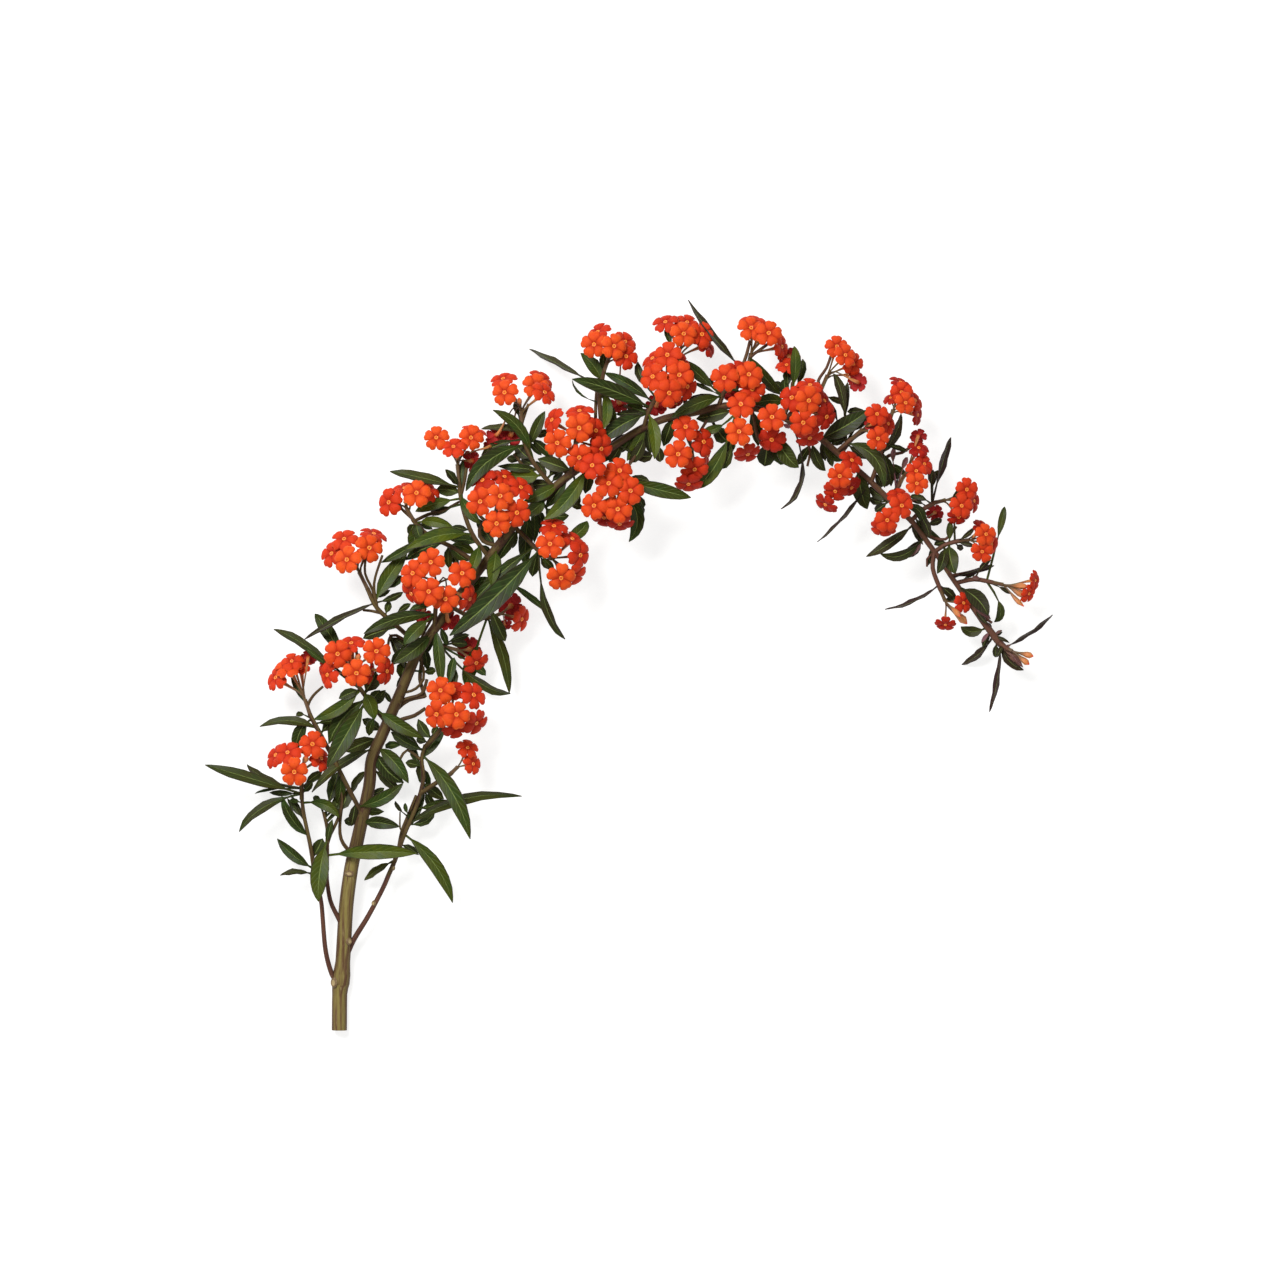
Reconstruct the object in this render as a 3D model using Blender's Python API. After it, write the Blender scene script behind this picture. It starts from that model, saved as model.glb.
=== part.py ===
"""Cut spray of scarlet plume spurge, lying flat on a surface.

The spray lies in the XY plane as it arches in the photo, with +X to the right and +Y
toward the top of the arch. Places are read in millimetres from the cut end of the stem
and moved by PLAN_CENTRE, so that the origin is under the middle of the spray.
Every leaf and floret is placed by the same few rules from the short lists below.
"""
import math
from dataclasses import dataclass

import bpy
import bmesh
from mathutils import Matrix, Vector
from mathutils.bvhtree import BVHTree

# Driving dimensions in millimetres
MM = 0.001
PLAN_CENTRE = Vector((160.0, 201.0, 0.0))
JOINT_GAP = 0.3
LOWEST = 1.0
CLEARANCE = 0.25
MERGE_DISTANCE = 0.01
CORNER_SPACE = 0.5
TINY = 1e-6
NEARLY_ALONG = 0.9

# Stems and side shoots
SHOOT_STEP = 1.2
SHOOT_RADIUS = 1.25
STALK_RADIUS = 1.15
WOODY_ROUNDING = 2
LEAFY_ROUNDING = 1
SHOOT_ROUNDING = 0

# Leaves: the blade is folded along its midrib and arches between its foot and its tip
LEAF_THICKNESS = 1.0
LEAF_FOLD = 0.11
LEAF_ARCH = 0.12
LEAF_LOWEST = 2.0
FOOT_HEIGHT_SHARE = 0.35
PETIOLE_WIDTH = 1.4
SHORT_PETIOLE = 0.12
ROOT_STEP = 3.0
ROOT_REACH = 12.0
LIFT_COST = 0.4

# Leaf rings beyond the leaf's own stalk: share of the length, share of the width
LEAF_STATIONS = ((0.25, 0.9), (0.5, 1.08), (0.76, 0.78))
SMALL_LEAF_STATIONS = ((0.3, 0.95), (0.64, 0.95))
SMALL_LEAF_LENGTH = 46.0

# Florets: five rounded petals, a cup behind them and a stalk down to the fork
PETALS = 5
FLORET_RADIUS = 7.8
FLORET_TURN = 2.4
THROAT_DEPTH = 0.5
CUP_SIDES = 3
CUP_RADIUS = 1.5
CUP_DEPTH = 2.0
PEDICEL_RADIUS = 0.65
PEDICEL_REACH = 16.0
LEAST_HEIGHT = 4.0
FORK_SINK = 0.8
FORK_STEP = 1.0

# Outline of one petal from notch to notch: share of a turn, share of the radius, droop
PETAL_OUTLINE = ((0.0, 0.75, 0.1), (0.05, 1.0, -0.7), (0.15, 1.0, -0.7))

# Ways that a floret looks, as shares outward and up, and its height share over the fork
FACINGS = {"f": (0.35, 1.0), "s": (1.0, 0.7), "b": (0.6, -1.0)}
HEIGHT_SHARES = {"f": 1.0, "s": 0.3, "u": 0.3, "b": -0.5}

# Bud rings: share of the way from fork to tip, radius
BUD_RINGS = ((0.0, 0.65), (0.45, 0.9), (0.85, 2.0), (1.0, 1.3))
BUD_SIDES = 5
BUD_POINT = 1.5

# How far a leaf tip or a floret may move up or down to pass clear, the smallest first
LEAF_LIFTS = (0, -3, 3, -6, 6, -9, 9, -12, 12, -15, 15, -18, 18, -22, 22, 26, 30)
FLORET_LIFTS = (0, 2, -2, 4, -4, 6, -6, 9, -9, 12, -12, 15, -15, 18)
FLORET_PUSHES = (0.0, 1.5, 3.0)
PUSH_COST = 1.5
CROSSING_COST = 20.0

# Woody foot of the stem: x, y, height of the middle, radius
WOODY_STEM = (
    (0, 0, 3.9, 4.2), (0.2, 20, 3.9, 4.2), (0.8, 26, 4.2, 4.9), (1.3, 31, 4.9, 4.9),
    (2.0, 38, 6.0, 4.1), (2.8, 50, 8.0, 4.1), (4.2, 70, 10.5, 4.0), (7, 90, 12.5, 3.9),
    (9.25, 100, 13.5, 3.8),
)
# Woody feet of the three thin twigs, which start inside the stem
WOODY_TWIGS = (
    ((-1, 27, 5, 1.5), (-4, 31, 6, 1.4), (-7.5, 45, 8, 1.3), (-9.5, 70, 11, 1.2), (-11.25, 77.5, 12, 1.2)),
    ((3, 56, 9, 1.4), (-1, 64, 12, 1.3), (-4.5, 72, 13.5, 1.2), (-6.3, 84, 15, 1.1), (-6.15, 94, 16.25, 1.1)),
    ((3, 39, 6.5, 1.7), (8, 50, 8, 1.5), (16, 63, 9.5, 1.4), (24, 78, 11.5, 1.3), (27.5, 86, 12.5, 1.3)),
)

# Leafy stretches: node name, then x, y, height and radius along the axis
LEAFY_AXES = (
    ("leafy_twig_left", ((-11.25, 77.5, 12, 1.2), (-13, 85, 13, 1.2), (-15, 100, 15, 1.2),
                         (-17, 110, 16, 1.1), (-19, 120, 17, 1.1), (-20, 129, 18, 1.0))),
    ("leafy_twig_middle", ((-6.15, 94, 16.25, 1.1), (-6, 104, 17.5, 1.1), (-6, 112, 18.5, 1.0),
                           (-8, 121, 19.5, 0.9))),
    ("leafy_twig_right", ((27.5, 86, 12.5, 1.3), (31, 94, 13.5, 1.3), (36, 108, 15, 1.3),
                          (40, 117, 16, 1.2), (44, 127, 17.5, 1.2), (47, 140, 19, 1.1),
                          (46, 150, 20, 1.1), (48, 158, 21, 1.0))),
    ("leafy_stem_1", ((9.25, 100, 13.5, 3.8), (11.5, 110, 14.5, 3.6), (17, 135, 16.5, 3.4),
                      (18.5, 150, 18, 3.3), (25, 165, 19.5, 3.2), (31.5, 180, 20.5, 3.1),
                      (36, 190.5, 21.3, 3.0))),
    ("leafy_stem_2", ((36, 190.5, 21.3, 3.0), (40, 200, 22, 2.9), (45, 210, 23, 2.8),
                      (60, 231, 24.5, 2.7), (74, 249, 25.75, 2.6))),
    ("leafy_stem_3", ((74, 249, 25.75, 2.6), (88, 267, 27, 2.5), (100, 282, 28, 2.5),
                      (110, 291, 28.25, 2.4))),
    ("leafy_stem_4", ((110, 291, 28.25, 2.4), (120, 300, 28.5, 2.3), (130, 308, 29, 2.3),
                      (140, 314.5, 29.25, 2.2))),
    ("leafy_stem_5", ((140, 314.5, 29.25, 2.2), (150, 321, 29.5, 2.2), (166, 331, 30, 2.1),
                      (180, 337, 30, 2.1), (196.5, 340.5, 30, 2.0))),
    ("leafy_stem_6", ((196.5, 340.5, 30, 2.0), (213, 344, 30, 2.0), (227, 343, 30, 1.9),
                      (240, 340, 30, 1.9), (252, 333.5, 29.25, 1.8))),
    ("leafy_stem_7", ((252, 333.5, 29.25, 1.8), (264, 327, 28.5, 1.8), (276, 317, 27.5, 1.7),
                      (290, 305, 26, 1.7), (299, 296.5, 25, 1.6))),
    ("leafy_stem_8", ((299, 296.5, 25, 1.6), (308, 288, 24, 1.6), (317, 279, 23, 1.5),
                      (324, 269.5, 21.75, 1.5))),
    ("leafy_stem_9", ((324, 269.5, 21.75, 1.5), (331, 260, 20.5, 1.4), (337, 251, 19, 1.4),
                      (344, 241, 17.5, 1.4), (356, 224, 15, 1.3), (363, 215, 13, 1.2),
                      (369, 209, 12, 1.1))),
)


@dataclass(frozen=True)
class Bloom:
    """One flower head: where its stalk leaves the axis, its way out and its florets.

    The path runs from the axis to the fork as x, y, height. Each floret is x, y and a
    letter: f faces up, s faces outward and b faces down. A bud is written u. The size
    is the share of a full floret's radius that this head's young florets have.
    """

    name: str
    host: str
    path: tuple
    florets: tuple
    size: float = 1.0


BLOOMS = (
    Bloom("bloom_01", "leafy_stem_1",
          ((13.5, 119, 15), (6, 134, 24), (-2, 150, 25), (-9, 163, 24), (-15, 174, 23), (-18, 183, 23)),
          ((-34, 195, "s"), (-27, 201, "s"), (-21, 202.5, "s"))),
    Bloom("bloom_02", "leafy_stem_1",
          ((27, 170, 20), (19, 180, 27), (12, 190, 31), (9, 199, 34)),
          ((11.5, 197.5, "f"), (27.5, 198.5, "s"), (22, 209.5, "f"), (-5, 196.5, "s"), (1, 208, "f"),
           (8, 214, "s"), (6, 207, "u"))),
    Bloom("bloom_03", "leafy_twig_left",
          ((-20, 128, 18), (-20, 136, 21), (-20, 144, 24)),
          ((-23, 143.5, "f"), (-13.5, 158.5, "f"), (-9, 150.5, "s"), (-34, 152.5, "s"), (-27, 154, "s"))),
    Bloom("bloom_04", "leafy_stem_2",
          ((46, 211, 23), (33, 223, 28), (22, 233, 30), (17, 243, 30), (12, 253, 30)),
          ((-3, 263, "s"), (6, 259.5, "f"), (18, 266, "f"), (20, 274, "s"), (4, 271, "s"))),
    Bloom("bloom_05", "leafy_stem_2",
          ((53, 221, 24), (54, 232, 31), (55, 240, 36), (55, 246, 39)),
          ((41, 241, "s"), (42, 252, "f"), (52, 258, "f"), (69, 252, "f"), (51, 242, "f"),
           (60, 238, "f"), (73, 238, "s"))),
    Bloom("bloom_06", "leafy_twig_right",
          ((48, 157, 21), (54, 163, 25), (59, 170, 28), (63, 177, 31)),
          ((55, 175, "f"), (57, 188, "f"), (64, 188.5, "s"), (75, 185.5, "s"), (66, 175, "f"),
           (76.5, 170, "s"), (65, 169, "s"))),
    Bloom("bloom_07", "leafy_twig_right",
          ((45, 131, 18), (54, 137, 21), (62, 142, 22), (66, 146, 22)),
          ((71.5, 156.5, "s"), (74.5, 147.5, "s")), 0.8),
    Bloom("bloom_08", "leafy_stem_2",
          ((48, 215, 23), (58, 212, 17), (66, 210, 14)),
          ((72.5, 210.5, "b"), (76, 203, "s"))),
    Bloom("bloom_09", "leafy_stem_2",
          ((62, 234, 25), (74, 228, 18), (84, 228, 15), (89, 230, 14)),
          ((95, 234.5, "b"), (101, 227, "s"))),
    Bloom("bloom_10", "leafy_stem_3",
          ((79, 256, 26), (64, 266, 28), (50, 273, 29), (42, 281, 30), (38, 288, 31)),
          ((28.5, 291, "s"), (44, 296, "f"), (37, 299, "s"), (50, 298.5, "s"))),
    Bloom("bloom_11", "leafy_stem_3",
          ((90, 269, 27), (88, 277, 33), (87, 284, 38), (88, 290, 40)),
          ((80, 303, "s"), (92, 305, "s"), (101, 299, "s"), (79, 291, "f"), (90, 294, "f"),
           (99, 285, "f"), (88, 279, "f"))),
    Bloom("bloom_12", "leafy_stem_3",
          ((97, 278, 28), (105, 270, 31), (112, 263, 32), (118, 260, 33)),
          ((117, 268, "f"), (123, 249.5, "f"), (130, 251, "s"), (129, 271, "s"), (119, 278, "s"),
           (133.5, 262, "s"))),
    Bloom("bloom_13", "leafy_stem_3",
          ((83, 261, 27), (74, 274, 30), (69, 288, 30), (67, 301, 30), (66, 312, 30)),
          ((54.5, 326.5, "f"), (64, 321.5, "s"), (73.5, 326.5, "f"), (75, 331.5, "s")), 0.92),
    Bloom("bloom_14", "leafy_stem_4",
          ((119, 299, 28), (109, 311, 30), (103, 323, 30), (101, 334, 30), (101, 341, 30)),
          ((92, 351, "f"), (91, 359, "s"), (109, 355, "f"), (112, 359, "s"), (114, 351, "s")), 0.95),
    Bloom("bloom_15", "leafy_stem_4",
          ((128, 306, 29), (129, 313, 35), (130, 319, 38), (131, 325, 40)),
          ((118, 336, "s"), (133, 341, "s"), (121, 323, "f"), (133, 331, "f"), (142, 330, "s"),
           (133, 315, "f"), (145, 320, "s"))),
    Bloom("bloom_16", "leafy_stem_5",
          ((142, 315, 29), (147, 309, 33), (150, 302, 35), (152, 296, 36)),
          ((155, 308, "f"), (149, 301, "f"), (161, 297, "f"), (141, 289, "f"), (154, 287, "f"),
           (155, 279, "s"), (147, 284, "s"), (141, 309.5, "s"))),
    Bloom("bloom_17", "leafy_stem_5",
          ((147, 319, 29), (145, 333, 33), (144, 348, 33), (146, 362, 32), (149, 370, 32)),
          ((141, 377, "f"), (143, 384.5, "s"), (152, 376, "f"), (158, 379, "s"), (157, 370.5, "s")), 0.95),
    Bloom("bloom_18", "leafy_stem_5",
          ((168, 331.5, 30), (171, 341, 36), (176, 350, 40), (180, 358, 41)),
          ((173, 369.5, "s"), (181, 371, "f"), (188, 367.5, "s"), (173, 359, "f"), (187.5, 360, "f"),
           (192, 354, "s"), (182, 350, "f"))),
    Bloom("bloom_19", "leafy_stem_5",
          ((192, 340, 30), (190, 352, 30), (188, 364, 29), (188, 373, 29)),
          ((190, 383, "f"), (180, 390, "s"), (192, 390, "s"), (200, 383, "f"), (203, 377.5, "s")), 0.95),
    Bloom("bloom_20", "leafy_stem_5",
          ((186, 338.5, 30), (190, 332, 33), (193, 325, 34), (195, 320, 34)),
          ((191, 332, "f"), (187, 317, "f"), (201, 324, "s"), (203, 317, "s"), (196, 309, "s"),
           (193, 304, "s"))),
    Bloom("bloom_21", "leafy_stem_6",
          ((209, 343.5, 30), (212, 351, 34), (217, 356, 36)),
          ((212, 358.5, "f"), (225.5, 360.5, "f"), (219, 361, "s"), (226, 353, "f"))),
    Bloom("bloom_22", "leafy_stem_6",
          ((217, 344, 30), (219, 338, 38), (220, 333, 42)),
          ((221, 344, "f"), (220, 329, "f"), (225, 317, "s"))),
    Bloom("bloom_23", "leafy_stem_6",
          ((238, 340.5, 30), (238, 336, 36), (238, 332, 40)),
          ((238, 337, "f"), (238, 325, "s"))),
    Bloom("bloom_24", "leafy_stem_6",
          ((224, 343, 30), (224, 354, 29), (225, 364, 28), (227, 373, 28)),
          ((227, 386.5, "f"), (228, 391, "s"), (236.5, 383.5, "f"), (244, 376.5, "s"),
           (234, 388, "s")), 0.95),
    Bloom("bloom_25", "leafy_stem_6",
          ((245, 338.5, 30), (249, 348, 27), (250, 357, 26)),
          ((246.5, 366.5, "s"), (248, 372, "b")), 0.8),
    Bloom("bloom_26", "leafy_stem_6",
          ((246, 336.8, 29.6), (249, 340, 37), (256, 342, 40)),
          ((259, 355, "s"), (258, 346, "f"), (255, 334, "f"), (259, 326, "s"), (249, 348, "s"),
           (267, 346.5, "s"), (268, 337.5, "s"))),
    Bloom("bloom_27", "leafy_stem_7",
          ((262, 328.5, 28.5), (263, 340, 27), (265, 352, 27), (269, 361, 28)),
          ((274, 376.5, "f"), (278.5, 371.5, "f"), (283, 367, "f"), (284.5, 361.5, "s")), 0.85),
    Bloom("bloom_28", "leafy_stem_7",
          ((279, 314.5, 27), (278, 311, 31), (276, 307, 34)),
          ((275, 305, "f"), (282, 314, "s"), (273, 297, "s"), (269, 292.5, "s"), (282, 299, "s")), 0.9),
    Bloom("bloom_29", "leafy_stem_7",
          ((274, 318.7, 27.5), (281, 325, 32), (288, 331, 34)),
          ((295.5, 339, "f"), (302, 334, "s"), (296, 325.5, "f")), 0.85),
    Bloom("bloom_30", "leafy_stem_7",
          ((293, 302.3, 26), (297, 314, 29), (300, 326, 30), (303, 336, 30), (305, 342, 30)),
          ((309, 351, "f"), (311, 345, "f"), (309, 357, "s"), (317, 347, "s"), (318.5, 339, "s")), 0.8),
    Bloom("bloom_31", "leafy_stem_8",
          ((303, 293, 24.5), (308, 300, 28), (311, 306, 29)),
          ((319, 321, "s"), (317, 308, "f"), (322, 312, "s"), (316, 302, "f")), 0.8),
    Bloom("bloom_32", "leafy_stem_8",
          ((310, 286, 24), (307, 286, 30), (304, 286, 33)),
          ((301, 281, "f"), (309, 289, "f"), (308, 295, "s"), (299, 276.5, "s")), 0.9),
    Bloom("bloom_33", "leafy_stem_8",
          ((315, 281, 23), (321, 287, 25), (328, 291, 26), (334, 292.5, 26)),
          ((345, 298, "f"), (342, 289, "f"), (349.5, 292, "s"), (341, 283, "s")), 0.85),
    Bloom("bloom_34", "leafy_stem_8",
          ((319, 276.5, 22.5), (321, 279, 16), (323, 282, 13)),
          ((329, 286, "b"),), 0.65),
    Bloom("bloom_35", "leafy_stem_9",
          ((328, 264, 21), (334, 268, 23), (341, 270, 24), (347, 270.5, 24)),
          ((355.5, 273.5, "f"), (353.5, 264, "f"), (359, 268, "s"), (354, 277, "s")), 0.8),
    Bloom("bloom_36", "leafy_stem_9",
          ((340, 247, 18), (350, 249, 19), (359, 247.5, 19), (366, 246, 19)),
          ((383.5, 248.5, "s"), (380, 241, "s"), (376, 235, "u")), 0.7),
    Bloom("bloom_37", "leafy_stem_9",
          ((328, 264, 21), (327, 255, 22), (331, 244, 20), (334, 237, 19)),
          ((334, 224, "s"), (344, 236, "s"), (341, 229, "u")), 0.75),
    Bloom("bloom_38", "leafy_stem_9",
          ((363, 215, 13), (368, 211, 16), (371, 209.5, 17)),
          ((381, 207, "u"), (379, 203, "u"))),
)


@dataclass(frozen=True)
class Leaf:
    """One leaf: the foot and tip of its blade, width, sideways bow and rise of the tip.

    The bow is to the left of the way from foot to tip. The seen width is what shows
    from above; a blade that shows narrow is rolled on its side.
    """

    base: tuple
    tip: tuple
    seen_width: float
    bow: float
    rise: float
    width: float = 0.0


# Leaves that the spray rests on besides its foot: their tips touch the surface
FOOT_LEAVES = {
    "leafy_stem_5": Leaf((131, 357), (105, 376.5), 4, -1, 0, 6),
    "leafy_stem_9": Leaf((356, 216), (344, 202), 4, 2.5, 0, 5),
}

LEAVES = {
    "leafy_twig_left": (
        Leaf((-17, 85), (-32, 86), 3, -2, 2, 4),
        Leaf((-17, 88), (-34, 106), 6, 0.5, -4),
        Leaf((-17, 107), (-31, 130), 6, 2, 4),
        Leaf((-29, 132), (-73, 147), 6, -0.5, 3, 7),
        Leaf((-32, 134.5), (-50.5, 147), 3, 2, -8, 5),
        Leaf((-28, 131), (-54.5, 110), 5.5, -3.5, -2, 6),
        Leaf((-16, 128), (1, 118), 6, 3, 7),
    ),
    "leafy_twig_middle": (
        Leaf((-12, 105), (-10.5, 72), 10, 0, 8),
        Leaf((0, 97.5), (43.5, 98.5), 8.5, 1.5, 9),
    ),
    "leafy_twig_right": (
        Leaf((27, 95), (14, 83), 4, 0, -6, 5),
        Leaf((40, 106), (63, 71), 7.5, 4, 4),
        Leaf((41, 113), (101, 129.5), 5.5, 5, -2, 7),
        Leaf((48, 152), (73, 106.5), 9, 4, 12),
        Leaf((49, 151), (45, 137), 4, -1, -7, 5),
        Leaf((38, 112), (47, 135), 5.5, -1, -4),
        Leaf((49, 150), (59, 168), 6.5, 1, -4),
    ),
    "leafy_stem_1": (
        Leaf((12, 123), (36, 137), 7, -2, 7),
        Leaf((8, 116), (34, 113), 7, 1, 8),
        Leaf((20, 158), (39, 137), 8, 2, 8),
        Leaf((10, 171), (47.5, 162), 7.5, 2, 8),
        Leaf((20, 195), (20.5, 172), 8, -1, -3),
        Leaf((11, 181), (-5, 146), 10.5, 1, 12),
        Leaf((17, 160), (-14, 132), 5.5, -2, 5, 7),
        Leaf((-12, 166), (-43, 168), 5, -4, -3, 6),
        Leaf((-18, 178), (-23, 154), 7, -1.5, -4),
        Leaf((9, 189), (-13, 172), 7, 3, -3),
        Leaf((4, 148), (-1, 125), 6, 1, -9),
        Leaf((15, 146), (7, 131), 4, -1, -9, 5),
        Leaf((-3, 207), (-35, 221.5), 5, -1, -5, 6),
        Leaf((4, 212), (-13, 230), 7.5, 0, -8),
    ),
    "leafy_stem_2": (
        Leaf((54, 219), (31, 203), 8.5, 1, 9),
        Leaf((47, 229), (37, 213), 8, 0, 6),
        Leaf((53, 230), (15, 219), 7, -3, 11),
        Leaf((56, 222), (57, 191), 6.5, 0, 3),
        Leaf((78, 211), (70, 190), 8, -1, -4),
        Leaf((66, 238), (83, 250), 7.5, 1, -5),
        Leaf((83, 228), (94, 186), 6, 2.5, -6, 7),
        Leaf((62, 193), (94.5, 186), 5.5, -1.5, -9, 7),
        Leaf((18, 236), (-18, 216), 3, -0.5, -4, 6),
        Leaf((24, 237), (38, 263), 8.5, 2, -7),
    ),
    "leafy_stem_3": (
        Leaf((110, 259), (62, 218), 12, 1, 9),
        Leaf((100, 246), (125, 216), 4.5, -1, -4, 6),
        Leaf((84, 270), (85, 245), 8, 1, 10),
        Leaf((81, 270), (73, 252), 6.5, 0, 8),
        Leaf((80, 277), (38, 265), 8, -3, 11),
        Leaf((41, 283), (41, 264), 7.5, 1, -5),
        Leaf((40, 284), (64, 277), 6, 1, 6),
        Leaf((60, 266), (75, 263), 6, 2, -9),
        Leaf((64, 297), (79, 279), 6, -1, 8),
        Leaf((62, 296), (43, 286), 6.5, 0, 4),
        Leaf((62, 298), (29, 308), 5.5, -1, 2, 7),
        Leaf((67, 301), (59.5, 309), 4, 0, 4, 5),
        Leaf((106, 284), (103, 256), 8, -1, -8),
        Leaf((127, 269), (137, 281), 7, -2, -6),
    ),
    "leafy_stem_4": (
        Leaf((119, 311), (91, 306), 9, 2, 7),
        Leaf((142, 307), (113.5, 281.5), 9, 2, 8),
        Leaf((124, 300), (102, 291), 7, 0, 4),
        Leaf((119, 291), (103, 284), 7.5, 0, 2),
        Leaf((104, 282), (127, 284), 8, -1, -4),
        Leaf((101, 323), (71, 297), 9, -5, 9),
        Leaf((114, 319), (85.5, 341.5), 6.5, -3, 6),
        Leaf((108, 322), (114, 341), 6, 1, 2),
        Leaf((101, 328), (79, 331.5), 3.5, -2, -4, 5),
    ),
    "leafy_stem_5": (
        Leaf((168, 343), (129, 358), 8.5, -2, 9),
        Leaf((146, 356), (133.5, 373), 7, -1.5, -3),
        Leaf((170, 347), (146.5, 362), 6, -1.5, -6),
        Leaf((149, 353), (146, 331), 6, 2, 7),
        Leaf((153, 350), (152, 331), 6, -1, 2),
        Leaf((169, 331), (159, 314), 6, 0, -5),
        Leaf((166, 341), (144, 324), 9, -1, 6),
        Leaf((164, 331), (145, 313), 8, -1, -9),
        Leaf((170, 340), (174, 314.5), 7, 2, 8),
        Leaf((161, 306), (194, 293.5), 8, -1, 3),
        Leaf((163, 303), (160, 269.5), 8, 6, -7),
    ),
    "leafy_stem_6": (
        Leaf((213, 363), (192.5, 402), 4.5, -4, 3, 7),
        Leaf((208, 357), (190, 369), 6.5, 1, -5),
        Leaf((215, 349), (183, 337), 7.5, -2, 7),
        Leaf((214, 326), (201, 331), 5, 0, -4),
        Leaf((215, 323), (195.5, 298.5), 8.5, 3, -3),
        Leaf((229, 321), (253, 310), 9, 1, 4),
        Leaf((231, 320), (251, 312), 8, 1, -8),
        Leaf((249, 354), (226, 370.5), 6, 2.5, 7),
        Leaf((250, 352), (228, 345), 7.5, 0, 5),
        Leaf((252, 356), (250.5, 376.5), 6, -1, 2),
        Leaf((258, 314), (243.5, 287.5), 2.6, 1, -5, 6),
    ),
    "leafy_stem_7": (
        Leaf((283, 342), (272, 361.5), 5, -0.5, 4, 6),
        Leaf((283, 342), (263, 351.5), 3.5, 1, -5, 5),
        Leaf((266, 326), (291, 341.5), 10, -1, 6),
        Leaf((262, 321), (277, 314), 6, 0, -7),
        Leaf((257, 322), (268, 308.5), 6, -1, -3),
        Leaf((277, 324), (300, 299), 8, 7, 6),
        Leaf((286, 307), (291, 287.5), 9.5, -1, 3),
        Leaf((287, 295), (263.5, 269.5), 2.2, 2, -5, 5),
        Leaf((301, 317), (309.5, 340), 5, -1.5, -5, 6),
    ),
    "leafy_stem_8": (
        Leaf((323, 303), (337, 327), 4, -1, -4, 6),
        Leaf((323, 276), (311, 289), 5.5, -5, 6),
        Leaf((314, 276), (290.5, 261.5), 5.5, 1, -3, 6),
        Leaf((319, 268), (298, 263), 5.5, 4.5, 4),
    ),
    "leafy_stem_9": (
        Leaf((331, 271), (329, 252), 6, 2, 10),
        Leaf((335, 271), (339, 252), 9, -1, 7),
        Leaf((336, 271), (336.5, 281), 4, 0, 5),
        Leaf((342, 243), (357, 229), 9, 2.5, 10),
        Leaf((355, 222), (343, 223), 6, 2.5, -4),
        Leaf((327, 246), (301, 232.5), 2.2, 3, -6, 5),
        Leaf((370, 214), (393.5, 229.5), 2.2, -1, 0, 5),
        Leaf((362, 209), (358.5, 176), 2.4, 2, 3, 5),
        Leaf((364, 211), (377.5, 199), 4, -2, 1, 5),
        Leaf((370.5, 240), (361, 225.5), 4.5, 2.5, -2),
        Leaf((361, 276), (366.5, 289), 4, -1, 2),
    ),
}

# Finishes: colour and roughness
FINISHES = {
    "bark": ((0.25, 0.16, 0.06, 1.0), 0.8),
    "leaf": ((0.035, 0.085, 0.025, 1.0), 0.55),
    "petal": ((0.85, 0.06, 0.01, 1.0), 0.6),
}


@dataclass
class Piece:
    """A closed mesh with the search trees and the box that the clearance test uses.

    The head is the piece without the end of its stalk, which siblings may share.
    """

    mesh: bpy.types.Mesh
    tree: BVHTree
    head: BVHTree
    low: Vector
    high: Vector


def clear_scene():
    """Removes what the file opened with."""
    for old in list(bpy.data.objects):
        bpy.data.objects.remove(old, do_unlink=True)


def make_material(name):
    """Returns the Principled material of one finish."""
    colour, roughness = FINISHES[name]
    material = bpy.data.materials.new(name)
    material.use_nodes = True
    shader = material.node_tree.nodes["Principled BSDF"]
    shader.inputs["Base Color"].default_value = colour
    shader.inputs["Roughness"].default_value = roughness
    material.diffuse_color = colour
    return material


def plan_point(place):
    """Turns a place in millimetres from the cut end into a point about PLAN_CENTRE."""
    return Vector(place[:3]) - PLAN_CENTRE


def make_piece(mesh, foot_corners=0):
    """Wraps a mesh as a piece, whose last corners are the foot of its stalk."""
    points = [vertex.co.copy() for vertex in mesh.vertices]
    faces = [tuple(face.vertices) for face in mesh.polygons]
    foot = len(points) - foot_corners
    head_faces = [face for face in faces if max(face) < foot]
    low = Vector([min(point[axis] for point in points) for axis in range(3)])
    high = Vector([max(point[axis] for point in points) for axis in range(3)])
    head = BVHTree.FromPolygons(points, head_faces)
    return Piece(mesh, BVHTree.FromPolygons(points, faces), head, low, high)


def tube_piece(name, points, radii, rounding):
    """Makes a closed tube through points as a bevelled curve, turned into a mesh."""
    curve = bpy.data.curves.new(name, "CURVE")
    curve.dimensions = "3D"
    curve.bevel_depth = 1.0
    curve.bevel_resolution = rounding
    curve.use_fill_caps = True
    spline = curve.splines.new("POLY")
    spline.points.add(len(points) - 1)
    for control, point, radius in zip(spline.points, points, radii):
        control.co = (*point, 1.0)
        control.radius = radius
    holder = bpy.data.objects.new(name, curve)
    bpy.context.collection.objects.link(holder)
    mesh = bpy.data.meshes.new_from_object(holder)
    bpy.data.objects.remove(holder)
    shell = bmesh.new()
    shell.from_mesh(mesh)
    bmesh.ops.remove_doubles(shell, verts=shell.verts, dist=MERGE_DISTANCE)
    bmesh.ops.recalc_face_normals(shell, faces=shell.faces)
    shell.to_mesh(mesh)
    shell.free()
    return make_piece(mesh)


def loft_piece(name, points, faces, foot_corners=0):
    """Makes a piece from the rings of a loft."""
    mesh = bpy.data.meshes.new(name)
    mesh.from_pydata(points, [], faces)
    shell = bmesh.new()
    shell.from_mesh(mesh)
    bmesh.ops.recalc_face_normals(shell, faces=shell.faces)
    shell.to_mesh(mesh)
    shell.free()
    return make_piece(mesh, foot_corners)


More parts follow.
